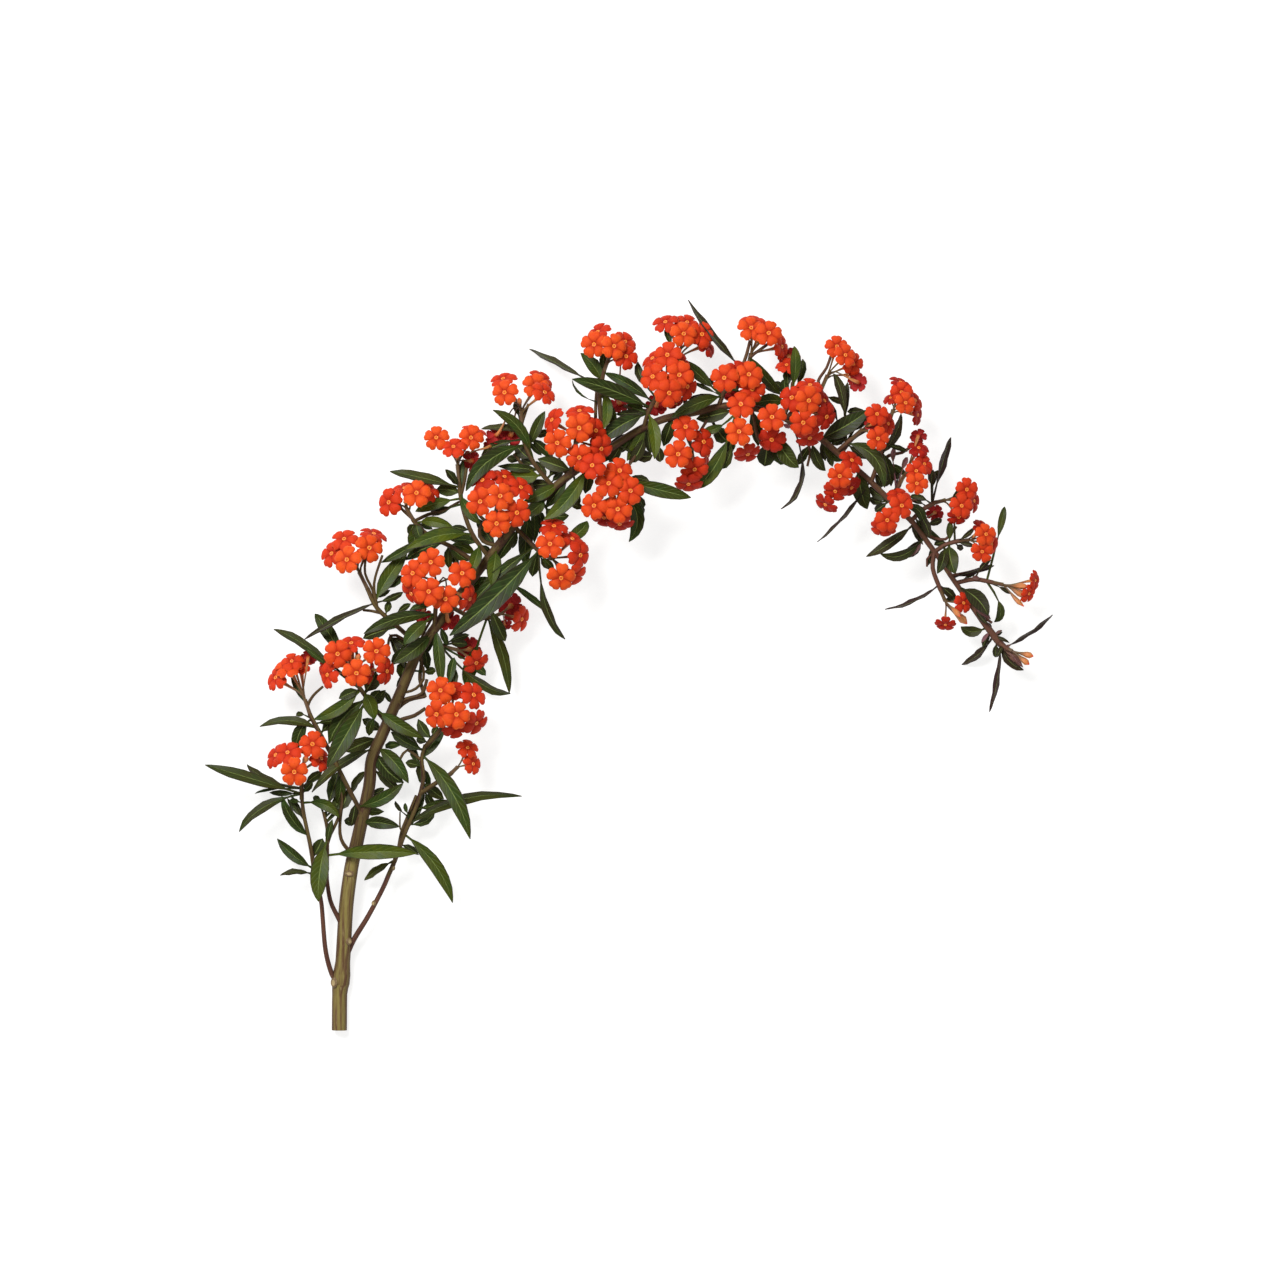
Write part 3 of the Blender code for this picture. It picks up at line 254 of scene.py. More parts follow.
# Flower heads in order: the stretch that bears each, its path, florets, size, added florets
BLOOM_ROWS = (
    ("leafy_stem_1",
     ((13.5, 119, 15), (6, 134, 24), (-2, 150, 25), (-9, 163, 24), (-15, 174, 23), (-18, 183, 23)),
     ((-34, 195, "s"), (-27, 201, "s"), (-21, 202.5, "s")), 1,
     ((-16, 206.5, 24, "b", 0.6), (-25, 204, 28, "s", 0.85))),
    ("leafy_stem_1", ((27, 170, 20), (19, 180, 27), (12, 190, 31), (9, 199, 34)),
     ((11.5, 197.5, "f"), (27.5, 198.5, "s"), (22, 209.5, "f"), (-5, 196.5, "s"), (1, 208, "f"),
      (8, 214, "s"), (6, 207, "u")), 1,
     ((12, 207, 38, "u", 1), (-7, 201, 31, "s", 0.9), (18.5, 197, 31, "s", 0.85))),
    ("leafy_twig_left", ((-20, 128, 18), (-20, 136, 21), (-20, 144, 24)),
     ((-23, 143.5, "f"), (-13.5, 158.5, "f"), (-9, 150.5, "s"), (-34, 152.5, "s"), (-27, 154, "s")), 1,
     ((-17, 151, 30, "u", 1),)),
    ("leafy_stem_2", ((46, 211, 23), (33, 223, 28), (22, 233, 30), (17, 243, 30), (12, 253, 30)),
     ((-3, 263, "s"), (6, 259.5, "f"), (18, 266, "f"), (20, 274, "s"), (4, 271, "s")), 1,
     ((12, 262, 36, "u", 0.9),)),
    ("leafy_stem_2", ((53, 221, 24), (54, 232, 31), (55, 240, 36), (55, 246, 39)),
     ((41, 241, "s"), (42, 252, "f"), (52, 258, "f"), (69, 252, "f"), (51, 242, "f"), (60, 238, "f"),
      (73, 238, "s")), 1, ((46, 229, 24, "b", 0.7), (61, 226, 22, "b", 0.8))),
    ("leafy_twig_right", ((48, 157, 21), (54, 163, 25), (59, 170, 28), (63, 177, 31)),
     ((55, 175, "f"), (57, 188, "f"), (64, 188.5, "s"), (75, 185.5, "s"), (66, 175, "f"), (76.5, 170, "s"),
      (65, 169, "s"))),
    ("leafy_twig_right", ((45, 131, 18), (54, 137, 21), (62, 142, 22), (66, 146, 22)),
     ((71.5, 156.5, "s"), (74.5, 147.5, "s")), 0.8),
    ("leafy_stem_2", ((48, 215, 23), (58, 212, 17), (66, 210, 14)), ((72.5, 210.5, "b"), (76, 203, "s"))),
    ("leafy_stem_2", ((62, 234, 25), (74, 228, 18), (84, 228, 15), (89, 230, 14)),
     ((95, 234.5, "b"), (101, 227, "s")), 1, ((92, 223.5, 13, "b", 0.5),)),
    ("leafy_stem_3", ((79, 256, 26), (64, 266, 28), (50, 273, 29), (42, 281, 30), (38, 288, 31)),
     ((28.5, 291, "s"), (44, 296, "f"), (37, 299, "s"), (50, 298.5, "s")), 1, ((38, 292, 38, "u", 0.8),)),
    ("leafy_stem_3", ((90, 269, 27), (88, 277, 33), (87, 284, 38), (88, 290, 40)),
     ((80, 303, "s"), (92, 305, "s"), (101, 299, "s"), (79, 291, "f"), (90, 294, "f"), (99, 285, "f"),
      (88, 279, "f")), 1, ((86, 299, 40, "u", 0.9), (93, 299, 42, "u", 0.8))),
    ("leafy_stem_3", ((97, 278, 28), (105, 270, 31), (112, 263, 32), (118, 260, 33)),
     ((117, 268, "f"), (123, 249.5, "f"), (130, 251, "s"), (129, 271, "s"), (119, 278, "s"),
      (133.5, 262, "s"))),
    ("leafy_stem_3", ((83, 261, 27), (74, 274, 30), (69, 288, 30), (67, 301, 30), (66, 312, 30)),
     ((54.5, 326.5, "f"), (64, 321.5, "s"), (73.5, 326.5, "f"), (75, 331.5, "s")), 0.92,
     ((74, 314, 24, "b", 0.8), (66, 317, 35, "u", 0.8), (84.5, 322.5, 24, "b", 0.6))),
    ("leafy_stem_4", ((119, 299, 28), (109, 311, 30), (103, 323, 30), (101, 334, 30), (101, 341, 30)),
     ((92, 351, "f"), (91, 359, "s"), (109, 355, "f"), (112, 359, "s"), (114, 351, "s")), 0.95,
     ((95, 328, 24, "b", 0.85), (87, 328, 26, "b", 0.7), (100, 347, 36, "u", 0.8))),
    ("leafy_stem_4", ((128, 306, 29), (129, 313, 35), (130, 319, 38), (131, 325, 40)),
     ((118, 336, "s"), (133, 341, "s"), (121, 323, "f"), (133, 331, "f"), (142, 330, "s"), (133, 315, "f"),
      (145, 320, "s")), 1, ((128, 331, 46, "u", 0.9),)),
    ("leafy_stem_5", ((142, 315, 29), (147, 309, 33), (150, 302, 35), (152, 296, 36)),
     ((155, 308, "f"), (149, 301, "f"), (161, 297, "f"), (141, 289, "f"), (154, 287, "f"), (155, 279, "s"),
      (147, 284, "s"), (141, 309.5, "s"))),
    ("leafy_stem_5", ((147, 319, 29), (145, 333, 33), (144, 348, 33), (146, 362, 32), (149, 370, 32)),
     ((141, 377, "f"), (143, 384.5, "s"), (152, 376, "f"), (158, 379, "s"), (157, 370.5, "s")), 0.95,
     ((150, 376, 34, "u", 0.8), (155, 345, 26, "b", 0.8))),
    ("leafy_stem_5", ((168, 331.5, 30), (171, 341, 36), (176, 350, 40), (180, 358, 41)),
     ((173, 369.5, "s"), (181, 371, "f"), (188, 367.5, "s"), (173, 359, "f"), (187.5, 360, "f"),
      (192, 354, "s"), (182, 350, "f")), 1, ((175, 344, 26, "b", 0.8), (186, 345, 34, "s", 0.7))),
    ("leafy_stem_5", ((192, 340, 30), (190, 352, 30), (188, 364, 29), (188, 373, 29)),
     ((190, 383, "f"), (180, 390, "s"), (192, 390, "s"), (200, 383, "f"), (203, 377.5, "s")), 0.95,
     ((193, 380, 33, "u", 0.8),)),
    ("leafy_stem_5", ((186, 338.5, 30), (190, 332, 33), (193, 325, 34), (195, 320, 34)),
     ((191, 332, "f"), (187, 317, "f"), (201, 324, "s"), (203, 317, "s"), (196, 309, "s"),
      (193, 304, "s"))),
    ("leafy_stem_6", ((209, 343.5, 30), (212, 351, 34), (217, 356, 36)),
     ((212, 358.5, "f"), (225.5, 360.5, "f"), (219, 361, "s"), (226, 353, "f")), 1,
     ((215, 352, 28, "b", 0.8), (221, 364, 36, "u", 0.8))),
    ("leafy_stem_6", ((217, 344, 30), (219, 338, 38), (220, 333, 42)),
     ((221, 344, "f"), (220, 329, "f"), (225, 317, "s"))),
    ("leafy_stem_6", ((238, 340.5, 30), (238, 336, 36), (238, 332, 40)),
     ((238, 337, "f"), (238, 325, "s"))),
    ("leafy_stem_6", ((224, 343, 30), (224, 354, 29), (225, 364, 28), (227, 373, 28)),
     ((227, 386.5, "f"), (228, 391, "s"), (236.5, 383.5, "f"), (244, 376.5, "s"), (234, 388, "s")), 0.95,
     ((231, 381, 32, "u", 0.7),)),
    ("leafy_stem_6", ((245, 338.5, 30), (249, 348, 27), (250, 357, 26)),
     ((246.5, 366.5, "s"), (248, 372, "b")), 0.8),
    ("leafy_stem_6", ((246, 336.8, 29.6), (249, 340, 37), (256, 342, 40)),
     ((259, 355, "s"), (258, 346, "f"), (255, 334, "f"), (259, 326, "s"), (249, 348, "s"),
      (267, 346.5, "s"), (268, 337.5, "s")), 1, ((261, 348, 46, "u", 0.8),)),
    ("leafy_stem_7", ((262, 328.5, 28.5), (263, 340, 27), (265, 352, 27), (269, 361, 28)),
     ((274, 376.5, "f"), (278.5, 371.5, "f"), (283, 367, "f"), (284.5, 361.5, "s")), 0.85,
     ((286, 357, 28, "b", 0.7),)),
    ("leafy_stem_7", ((279, 314.5, 27), (278, 311, 31), (276, 307, 34)),
     ((275, 305, "f"), (282, 314, "s"), (273, 297, "s"), (269, 292.5, "s"), (282, 299, "s")), 0.9),
    ("leafy_stem_7", ((274, 318.7, 27.5), (281, 325, 32), (288, 331, 34)),
     ((295.5, 339, "f"), (302, 334, "s"), (296, 325.5, "f")), 0.85, ((294, 334, 38, "b", 0.7),)),
    ("leafy_stem_7", ((293, 302.3, 26), (297, 314, 29), (300, 326, 30), (303, 336, 30), (305, 342, 30)),
     ((309, 351, "f"), (311, 345, "f"), (309, 357, "s"), (317, 347, "s"), (318.5, 339, "s")), 0.8,
     ((303.5, 348.5, 29, "s", 0.6),)),
    ("leafy_stem_8", ((303, 293, 24.5), (308, 300, 28), (311, 306, 29)),
     ((319, 321, "s"), (317, 308, "f"), (322, 312, "s"), (316, 302, "f")), 0.8,
     ((319, 328, 24, "b", 0.6),)),
    ("leafy_stem_8", ((310, 286, 24), (307, 286, 30), (304, 286, 33)),
     ((301, 281, "f"), (309, 289, "f"), (308, 295, "s"), (299, 276.5, "s")), 0.9,
     ((305, 291, 38, "u", 0.7),)),
    ("leafy_stem_8", ((315, 281, 23), (321, 287, 25), (328, 291, 26), (334, 292.5, 26)),
     ((345, 298, "f"), (342, 289, "f"), (349.5, 292, "s"), (341, 283, "s")), 0.85,
     ((340, 292, 32, "u", 0.6),)),
    ("leafy_stem_8", ((319, 276.5, 22.5), (321, 279, 16), (323, 282, 13)), ((329, 286, "b"),), 0.65),
    ("leafy_stem_9", ((328, 264, 21), (334, 268, 23), (341, 270, 24), (347, 270.5, 24)),
     ((355.5, 273.5, "f"), (353.5, 264, "f"), (359, 268, "s"), (354, 277, "s")), 0.8,
     ((350, 273, 28, "u", 0.6),)),
    ("leafy_stem_9", ((340, 247, 18), (350, 249, 19), (359, 247.5, 19), (366, 246, 19)),
     ((383.5, 248.5, "s"), (380, 241, "s"), (376, 235, "u")), 0.7,
     ((377, 240, 20, "u", 1), (378, 245, 22, "u", 1))),
    ("leafy_stem_9", ((328, 264, 21), (327, 255, 22), (331, 244, 20), (334, 237, 19)),
     ((334, 224, "s"), (344, 236, "s"), (341, 229, "u")), 0.75, ((345, 225.5, 18, "u", 1.2),)),
    ("leafy_stem_9", ((363, 215, 13), (368, 211, 16), (371, 209.5, 17)),
     ((381, 207, "u"), (379, 203, "u"))),
)

# Leaves of the frame: x and y of the foot and of the tip, seen width, bow, rise, real width
LEAVES = {
    "leafy_twig_left": (
        (-17, 85, -32, 86, 3, -2, 2, 4), (-17, 88, -34, 106, 6, 0.5, -4), (-17, 107, -31, 130, 6, 2, 4),
        (-29, 132, -73, 147, 6, -0.5, 3, 7), (-32, 134.5, -50.5, 147, 3, 2, -8, 5),
        (-28, 131, -54.5, 110, 5.5, -3.5, -2, 6), (-16, 128, 1, 118, 6, 3, 7),
    ),
    "leafy_twig_middle": (
        (-12, 105, -10.5, 72, 10, 0, 8), (0, 97.5, 43.5, 98.5, 8.5, 1.5, 9),
    ),
    "leafy_twig_right": (
        (27, 95, 14, 83, 4, 0, -6, 5), (40, 106, 63, 71, 7.5, 4, 4), (41, 113, 101, 129.5, 5.5, 5, -2, 7),
        (48, 152, 73, 106.5, 9, 4, 12), (49, 151, 45, 137, 4, -1, -7, 5), (38, 112, 47, 135, 5.5, -1, -4),
        (49, 150, 59, 168, 6.5, 1, -4),
    ),
    "leafy_stem_1": (
        (12, 123, 36, 137, 7, -2, 7), (8, 116, 34, 113, 7, 1, 8), (20, 158, 39, 137, 8, 2, 8),
        (10, 171, 47.5, 162, 7.5, 2, 8), (20, 195, 20.5, 172, 8, -1, -3), (11, 181, -5, 146, 10.5, 1, 12),
        (17, 160, -14, 132, 5.5, -2, 5, 7), (-12, 166, -43, 168, 5, -4, -3, 6),
        (-18, 178, -23, 154, 7, -1.5, -4), (9, 189, -13, 172, 7, 3, -3), (4, 148, -1, 125, 6, 1, -9),
        (15, 146, 7, 131, 4, -1, -9, 5), (-3, 207, -35, 221.5, 5, -1, -5, 6),
        (4, 212, -13, 230, 7.5, 0, -8),
    ),
    "leafy_stem_2": (
        (54, 219, 31, 203, 8.5, 1, 9), (47, 229, 37, 213, 8, 0, 6), (53, 230, 15, 219, 7, -3, 11),
        (56, 222, 57, 191, 6.5, 0, 3), (78, 211, 70, 190, 8, -1, -4), (66, 238, 83, 250, 7.5, 1, -5),
        (83, 228, 94, 186, 6, 2.5, -6, 7), (62, 193, 94.5, 186, 5.5, -1.5, -9, 7),
        (18, 236, -18, 216, 3, -0.5, -4, 6), (24, 237, 38, 263, 8.5, 2, -7),
    ),
    "leafy_stem_3": (
        (110, 259, 62, 218, 12, 1, 9), (100, 246, 125, 216, 4.5, -1, -4, 6), (84, 270, 85, 245, 8, 1, 10),
        (81, 270, 73, 252, 6.5, 0, 8), (80, 277, 38, 265, 8, -3, 11), (41, 283, 41, 264, 7.5, 1, -5),
        (40, 284, 64, 277, 6, 1, 6), (60, 266, 75, 263, 6, 2, -9), (64, 297, 79, 279, 6, -1, 8),
        (62, 296, 43, 286, 6.5, 0, 4), (62, 298, 29, 308, 5.5, -1, 2, 7), (67, 301, 59.5, 309, 4, 0, 4, 5),
        (106, 284, 103, 256, 8, -1, -8), (127, 269, 137, 281, 7, -2, -6),
    ),
    "leafy_stem_4": (
        (119, 311, 91, 306, 9, 2, 7), (142, 307, 113.5, 281.5, 9, 2, 8), (124, 300, 102, 291, 7, 0, 4),
        (119, 291, 103, 284, 7.5, 0, 2), (104, 282, 127, 284, 8, -1, -4), (101, 323, 71, 297, 9, -5, 9),
        (114, 319, 85.5, 341.5, 6.5, -3, 6), (108, 322, 114, 341, 6, 1, 2),
        (101, 328, 79, 331.5, 3.5, -2, -4, 5),
    ),
    "leafy_stem_5": (
        (168, 343, 129, 358, 8.5, -2, 9), (146, 356, 133.5, 373, 7, -1.5, -3),
        (170, 347, 146.5, 362, 6, -1.5, -6), (149, 353, 146, 331, 6, 2, 7), (153, 350, 152, 331, 6, -1, 2),
        (169, 331, 159, 314, 6, 0, -5), (166, 341, 144, 324, 9, -1, 6), (164, 331, 145, 313, 8, -1, -9),
        (170, 340, 174, 314.5, 7, 2, 8), (161, 306, 194, 293.5, 8, -1, 3), (163, 303, 160, 269.5, 8, 6, -7),
        (131, 357, 105, 376.5, 4, -1, 0, 6),
    ),
    "leafy_stem_6": (
        (213, 363, 192.5, 402, 4.5, -4, 3, 7), (208, 357, 190, 369, 6.5, 1, -5),
        (215, 349, 183, 337, 7.5, -2, 7), (214, 326, 201, 331, 5, 0, -4),
        (215, 323, 195.5, 298.5, 8.5, 3, -3), (229, 321, 253, 310, 9, 1, 4), (231, 320, 251, 312, 8, 1, -8),
        (249, 354, 226, 370.5, 6, 2.5, 7), (250, 352, 228, 345, 7.5, 0, 5),
        (252, 356, 250.5, 376.5, 6, -1, 2), (258, 314, 243.5, 287.5, 2.6, 1, -5, 6),
    ),
    "leafy_stem_7": (
        (283, 342, 272, 361.5, 5, -0.5, 4, 6), (283, 342, 263, 351.5, 3.5, 1, -5, 5),
        (266, 326, 291, 341.5, 10, -1, 6), (262, 321, 277, 314, 6, 0, -7),
        (257, 322, 268, 308.5, 6, -1, -3), (277, 324, 300, 299, 8, 7, 6),
        (286, 307, 291, 287.5, 9.5, -1, 3), (287, 295, 263.5, 269.5, 2.2, 2, -5, 5),
        (301, 317, 309.5, 340, 5, -1.5, -5, 6),
    ),
    "leafy_stem_8": (
        (323, 303, 337, 327, 4, -1, -4, 6), (323, 276, 311, 289, 5.5, -5, 6),
        (314, 276, 290.5, 261.5, 5.5, 1, -3, 6), (319, 268, 298, 263, 5.5, 4.5, 4),
    ),
    "leafy_stem_9": (
        (331, 271, 329, 252, 6, 2, 10), (335, 271, 339, 252, 9, -1, 7), (336, 271, 336.5, 281, 4, 0, 5),
        (342, 243, 357, 229, 9, 2.5, 10), (355, 222, 343, 223, 6, 2.5, -4),
        (327, 246, 301, 232.5, 2.2, 3, -6, 5), (370, 214, 393.5, 229.5, 2.2, -1, 0, 5),
        (362, 209, 358.5, 176, 2.4, 2, 3, 5), (364, 211, 377.5, 199, 4, -2, 1, 5),
        (370.5, 240, 361, 225.5, 4.5, 2.5, -2), (361, 276, 366.5, 289, 4, -1, 2),
        (356, 216, 344, 202, 4, 2.5, 0, 5),
    ),
}

# Leaves that the frame leaves out: mostly small, behind the others and near the stems; they are drawn in
# the darker greens as painted shade
MORE_LEAVES = {
    "leafy_twig_left": (
        (-19, 112, -27, 131, 2.5, -1, -7), (-33, 134, -46, 131, 1.6, -1, -5), (-19, 138, -9, 143, 5, 0, -6),
        (-30, 134, -49, 141, 5, 1, -9), (-13, 96, -9, 106, 7, 0, -6), (-25, 131, -38, 131.5, 3.5, 0, -5),
        (-18, 131, -14, 138, 4, 0, 2), (-21, 117, -28.5, 128.5, 3, 0, -6), (-21, 128, -27, 127, 3, 0, -3),
    ),
    "leafy_twig_middle": (
        (9, 118, 3, 133, 7, -1, -3), (4, 117, -1, 131, 6, 0, -5), (-8, 104, -3, 117, 4, 0, 3),
        (-5, 127.5, 0, 143, 7.5, 0, -5), (5, 122, 4.5, 133, 5, 0, -6), (-7, 129, -14, 129, 4, 0, -6),
    ),
    "leafy_twig_right": (
        (34, 102, 44, 97, 4, 1, -6), (40, 112, 53, 121, 4.5, -2, -6), (46, 137, 58, 128, 6.5, 0, -6),
        (46, 155, 29, 165, 6, 1, -5), (44, 146, 41, 158, 4.5, 1, -8), (52, 160, 44, 172, 6, 1, -8),
        (48, 147, 50, 134, 4, 0, -8), (46, 119.5, 59, 127.5, 5, 0, -6), (48, 132, 52, 123, 5, 0, -9),
        (45, 147.5, 37, 148, 5, 0, -6), (31, 165, 26, 156, 4.5, 0, -8), (34, 120, 31.5, 127, 2.4, 0.5, 4),
        (34, 120, 37, 126, 2.4, -0.5, 4), (50, 163, 55, 168, 4, 0, -6), (49, 160, 43, 161, 4.5, 0, -9),
        (60, 194, 64, 206, 5, 0, -6), (69, 191, 63, 200, 5, 0, -8),
    ),
    "leafy_stem_1": (
        (20, 163, 4, 154, 8, 0, -9), (25, 166, 13, 172, 6, 0, -9), (21, 153, 36, 137, 8.5, -2, -3),
        (22, 146, 33, 132, 6, 0, -8), (10, 124, 25, 121, 5, -1, -7), (18, 128, 25, 134, 4, 0, -6),
        (10, 126, 7, 113, 5, 0, -6), (-9, 163, -1, 175, 6, 0, -9), (15, 176, 26, 188, 6, 0, -9),
        (15, 178, 23, 188, 6, 0, -7), (-13, 185, -26, 195, 4, 1, -5), (27, 168, 44, 157, 5, 1, -9),
        (10, 115, 3, 116, 5, 0, -6), (14, 182, -5, 158.5, 9, -3, -7), (-11, 170.5, 2, 172, 4.5, 0, -8),
        (11, 189.5, 1, 183.5, 6, 0, 0), (17, 186, 21, 198, 9.5, 0, -6), (30, 196, 38, 203, 8, 0, -6),
        (17, 174, 17, 163, 5, 0, -7), (28, 180, 26, 187, 3, 0, -6), (-19, 179, -23, 174, 3, 0, -4),
        (-7, 203, -17, 211, 3.4, 0, 2),
    ),
    "leafy_stem_2": (
        (43, 209, 30, 217, 5, 0, -6), (24, 238, 36, 242, 4, -1, -8), (46, 212, 49, 199, 5, 1, -6),
        (52, 224, 49, 208, 5, 0, -7), (61, 232, 58, 220, 4, 0, -8), (53, 235, 40, 232, 4, -1, 4),
        (39, 201, 32, 190, 5, 1, -6), (30, 221, 15, 220, 4, -1, -7), (75, 207, 81, 196, 5, 0, -7),
        (70, 246, 78, 232, 5, 0, -8), (35, 211, 30, 202, 5, 0, -6), (28.5, 220, 14, 216.5, 6.5, -1, -4),
        (50, 194, 53, 200, 4.5, 0, -6), (57, 222, 60, 213, 4, 0, -6), (62, 217, 71, 213, 5, 0, -6),
        (80, 226, 63, 217.5, 4, -1, -9), (61, 216, 72, 218.5, 4, 0, -6), (34, 199, 28, 219, 4, -1, -6),
        (30, 243, 35, 251, 5, 0, -6), (21, 238, 29, 243, 3, 0, -5), (27, 230, 28.5, 237, 4, 0, -6),
        (33, 232, 40, 235.5, 3.6, 0, -6), (67, 258, 60, 266, 5, 0, -8), (58, 255, 60, 262, 4, 0, -8),
    ),
    "leafy_stem_3": (
        (104, 263, 73, 234, 7, -2, 3), (100, 276, 88, 259, 6.5, -1, -6), (47, 268, 24, 258, 5, 0, 0),
        (60, 266, 72, 259, 6, 0, -3), (41, 284, 46, 270, 6, 0, 2), (70, 296, 69, 315, 4.5, 1, -3),
        (86, 267, 76, 283, 6, 0, -7), (110, 290, 108, 269, 5, 0, -6), (107, 258, 118, 255, 4, 0, -6),
        (42, 284, 39.5, 273, 5, 0, -5), (45, 281, 52, 276.5, 3.4, 0, -8), (72, 275, 63, 278, 4, 0, -6),
        (77, 266, 62, 270.5, 6, -2, -8), (58, 269, 37, 259.5, 7, -1.5, -7),
        (96, 244, 115, 231, 3.8, 1.5, -12), (84, 229, 92, 215, 7, 0, -8),
        (108, 263, 107, 250.5, 6.5, 0, -8), (111.5, 259, 119, 255, 4, 0, -2),
        (111, 286, 111, 274, 3.6, 0, -6), (99, 274, 96, 266, 3, 0, -6), (68, 296, 54, 298, 7.5, -1, -6),
        (60, 268, 61, 255, 5, 0, -6), (62, 288.5, 50, 284.5, 4.5, 0, -5), (80, 269, 84, 263.5, 3, 0, -6),
        (114.5, 289, 111, 280, 5, 0, -7),
    ),
    "leafy_stem_4": (
        (127, 303, 114, 288, 6, 0, -3), (104, 312, 98, 323, 7, 0, -4), (113, 309, 88, 311, 5, 0, 0),
        (109, 329, 118, 315, 5.5, 0, -5), (127, 309, 110, 315, 8, 0, -3), (140, 311, 136, 296, 7, 0, -3),
        (118, 303, 105, 300, 6, 0, -6), (116, 306, 122, 316, 6, -1, -7), (96, 324, 79, 317, 5, -2, -5),
        (100, 313, 93, 315.5, 4.5, 0, -8), (107, 311, 101, 315.5, 4.5, 0, -8),
        (117, 303, 124, 308.5, 3.6, 0, -8), (117, 304, 109, 314, 4, 0, -6), (135, 298, 131, 288, 4, 0, -6),
        (128, 286.5, 134.5, 289, 4, 0, -6), (106, 325, 112, 317, 3.6, 0, -6),
        (110, 326, 115.5, 330.5, 4.5, 0, -6), (100, 340, 97, 346, 3.4, 0, -6),
    ),
    "leafy_stem_5": (
        (172, 325, 160, 313, 6.5, 1, -4), (165, 329, 153, 318, 6, 0, -7), (184, 337, 179, 322, 7, 0, -5),
        (170, 341, 158, 344, 5, 0, -6), (147, 363, 138, 371, 5, 0, -6), (166, 352, 165, 368, 5, 1, -6),
        (164, 300, 168, 284, 5, 0, -6), (170, 303, 191, 294, 5, 0, -5), (170, 330, 172, 318, 5, 0, -7),
        (137.5, 345, 129, 358, 1.4, 2, -3), (161, 311.5, 173, 317, 7, 0, -6),
        (159, 321, 149, 313.5, 5.5, 0, -6), (161, 306.5, 171, 303, 4.5, 0, -4),
        (168.5, 298, 168, 288, 4.5, 0, -4), (178, 321, 177, 313.5, 5.5, 0, -8),
        (168, 340.5, 152.5, 339.5, 4, 0, -7), (168, 344, 159, 345, 4, 0, -9),
        (146, 364.5, 146, 373, 4.5, 0, -4), (183, 379.5, 180, 386.5, 3.6, 0, 0),
        (202, 364, 207, 355.5, 3, 0, -6),
    ),
    "leafy_stem_6": (
        (216, 340, 197, 337, 8, 0, -7), (227, 341, 231, 322, 7, 1, -6), (214, 331, 214, 316, 6, 1, -7),
        (231, 321, 247, 312.5, 9, 0, -5), (236, 322, 234.5, 311, 10, 0, -6),
        (207, 352, 195, 357, 2.4, 0, -5), (242, 351, 246, 359, 5, 0, -6), (218, 350, 215, 358, 5, 0, -6),
        (243, 351, 233, 356, 4, -1, -6), (205, 329.5, 214, 325, 8.5, 0, -6),
        (219, 319.5, 211, 309.5, 4.5, 1, -6), (210, 352, 192, 348, 5, 1, -6),
        (248, 353, 240, 357.5, 4.6, 0, -7), (248, 356.5, 246.5, 364, 5, 0, -4),
        (254, 356.5, 255.5, 370, 4.6, -1, -4),
    ),
    "leafy_stem_7": (
        (280, 333, 291, 340, 8, 0, -6), (300, 318, 304, 300, 6, 1, -5), (302, 321, 313, 319, 3, 1, -4),
        (303, 312, 312, 306, 4, 1, -6), (258, 322, 253, 312, 5, 0, -7), (265, 327, 277, 326, 5, 0, -7),
        (268, 320, 272, 311, 4, 0, -8), (290, 307, 284, 300, 5, 1, -6), (280, 340, 280, 357, 4, 1, -2),
        (291, 344, 280, 341, 5, 0, -6), (270.5, 350.5, 278, 345.5, 3.6, 0, -6),
        (271, 323, 279, 326.5, 4.6, 0, -5), (281, 322, 290, 315, 4, 0, -6), (262, 324, 268, 314, 4, 1, -7),
        (300, 298, 303.5, 306, 5, 0, -6), (295.5, 307, 299, 300, 4, 0, -7),
    ),
    "leafy_stem_8": (
        (304, 289, 296, 299, 4, 0, -7), (323, 302, 330, 309, 3, 0, -6), (325, 294, 314, 294, 3.5, -1, -5),
        (318, 283, 333, 270, 5, -2, -5), (320, 284, 325, 272, 5, 1, 2), (321, 270, 310, 261, 4, 0, -5),
        (313, 279, 322, 268, 3, 0, -7), (302.5, 292.5, 292.5, 300, 6, 1, -7),
        (299, 286.5, 292.5, 294, 4.6, 0, -8), (301, 290.5, 295.5, 286.5, 5, 0, -8),
        (310.5, 304.5, 306, 309, 3.6, 0, -5), (323.5, 302.5, 327, 309, 4.6, 0, 2),
        (323, 293, 315.5, 292, 2.6, 0, -5), (325.5, 278.5, 332.5, 282, 4, 0, -6),
        (325, 267, 314, 261, 4.6, -1, -6),
    ),
    "leafy_stem_9": (
        (326, 268, 324, 256, 2.6, 1, -5), (333, 246, 340, 238, 5, 0, -6),
        (341, 252, 361, 256.5, 2.6, 0, -2, 5), (343, 252, 352, 253.5, 3.5, 0, -3),
        (335, 272, 328, 268, 4, 0, -6), (339, 266, 344, 266, 3.5, 0, -6), (362, 213, 362, 206, 3.5, 0, -3),
        (360, 218, 366, 220, 2.4, 0, -3), (356, 226, 360, 222, 3, 0, -4), (365, 246, 370, 241, 2.4, 0, -3),
        (352, 237, 358, 228, 3, 0, -5), (331, 293, 341.5, 298, 3.4, -0.5, 5),
        (343, 270, 349.5, 277.5, 2.8, -0.5, 4), (342, 270, 349.5, 267, 3, 0, 3),
        (349, 256, 359, 259.5, 3.2, 0, 3), (358, 221, 355, 211.5, 3.6, 0, -3),
        (361.5, 219.5, 369.5, 214, 2, 0, 2), (341, 236, 335, 238.5, 3.6, 0, -4),
        (344, 241, 341, 233.5, 3, 0, -3), (352, 232, 357, 224.5, 3, -0.5, 4),
        (366, 214, 362.5, 206, 3, 0, 0), (347, 238, 352, 241, 2.4, 0, 2),
    ),
}

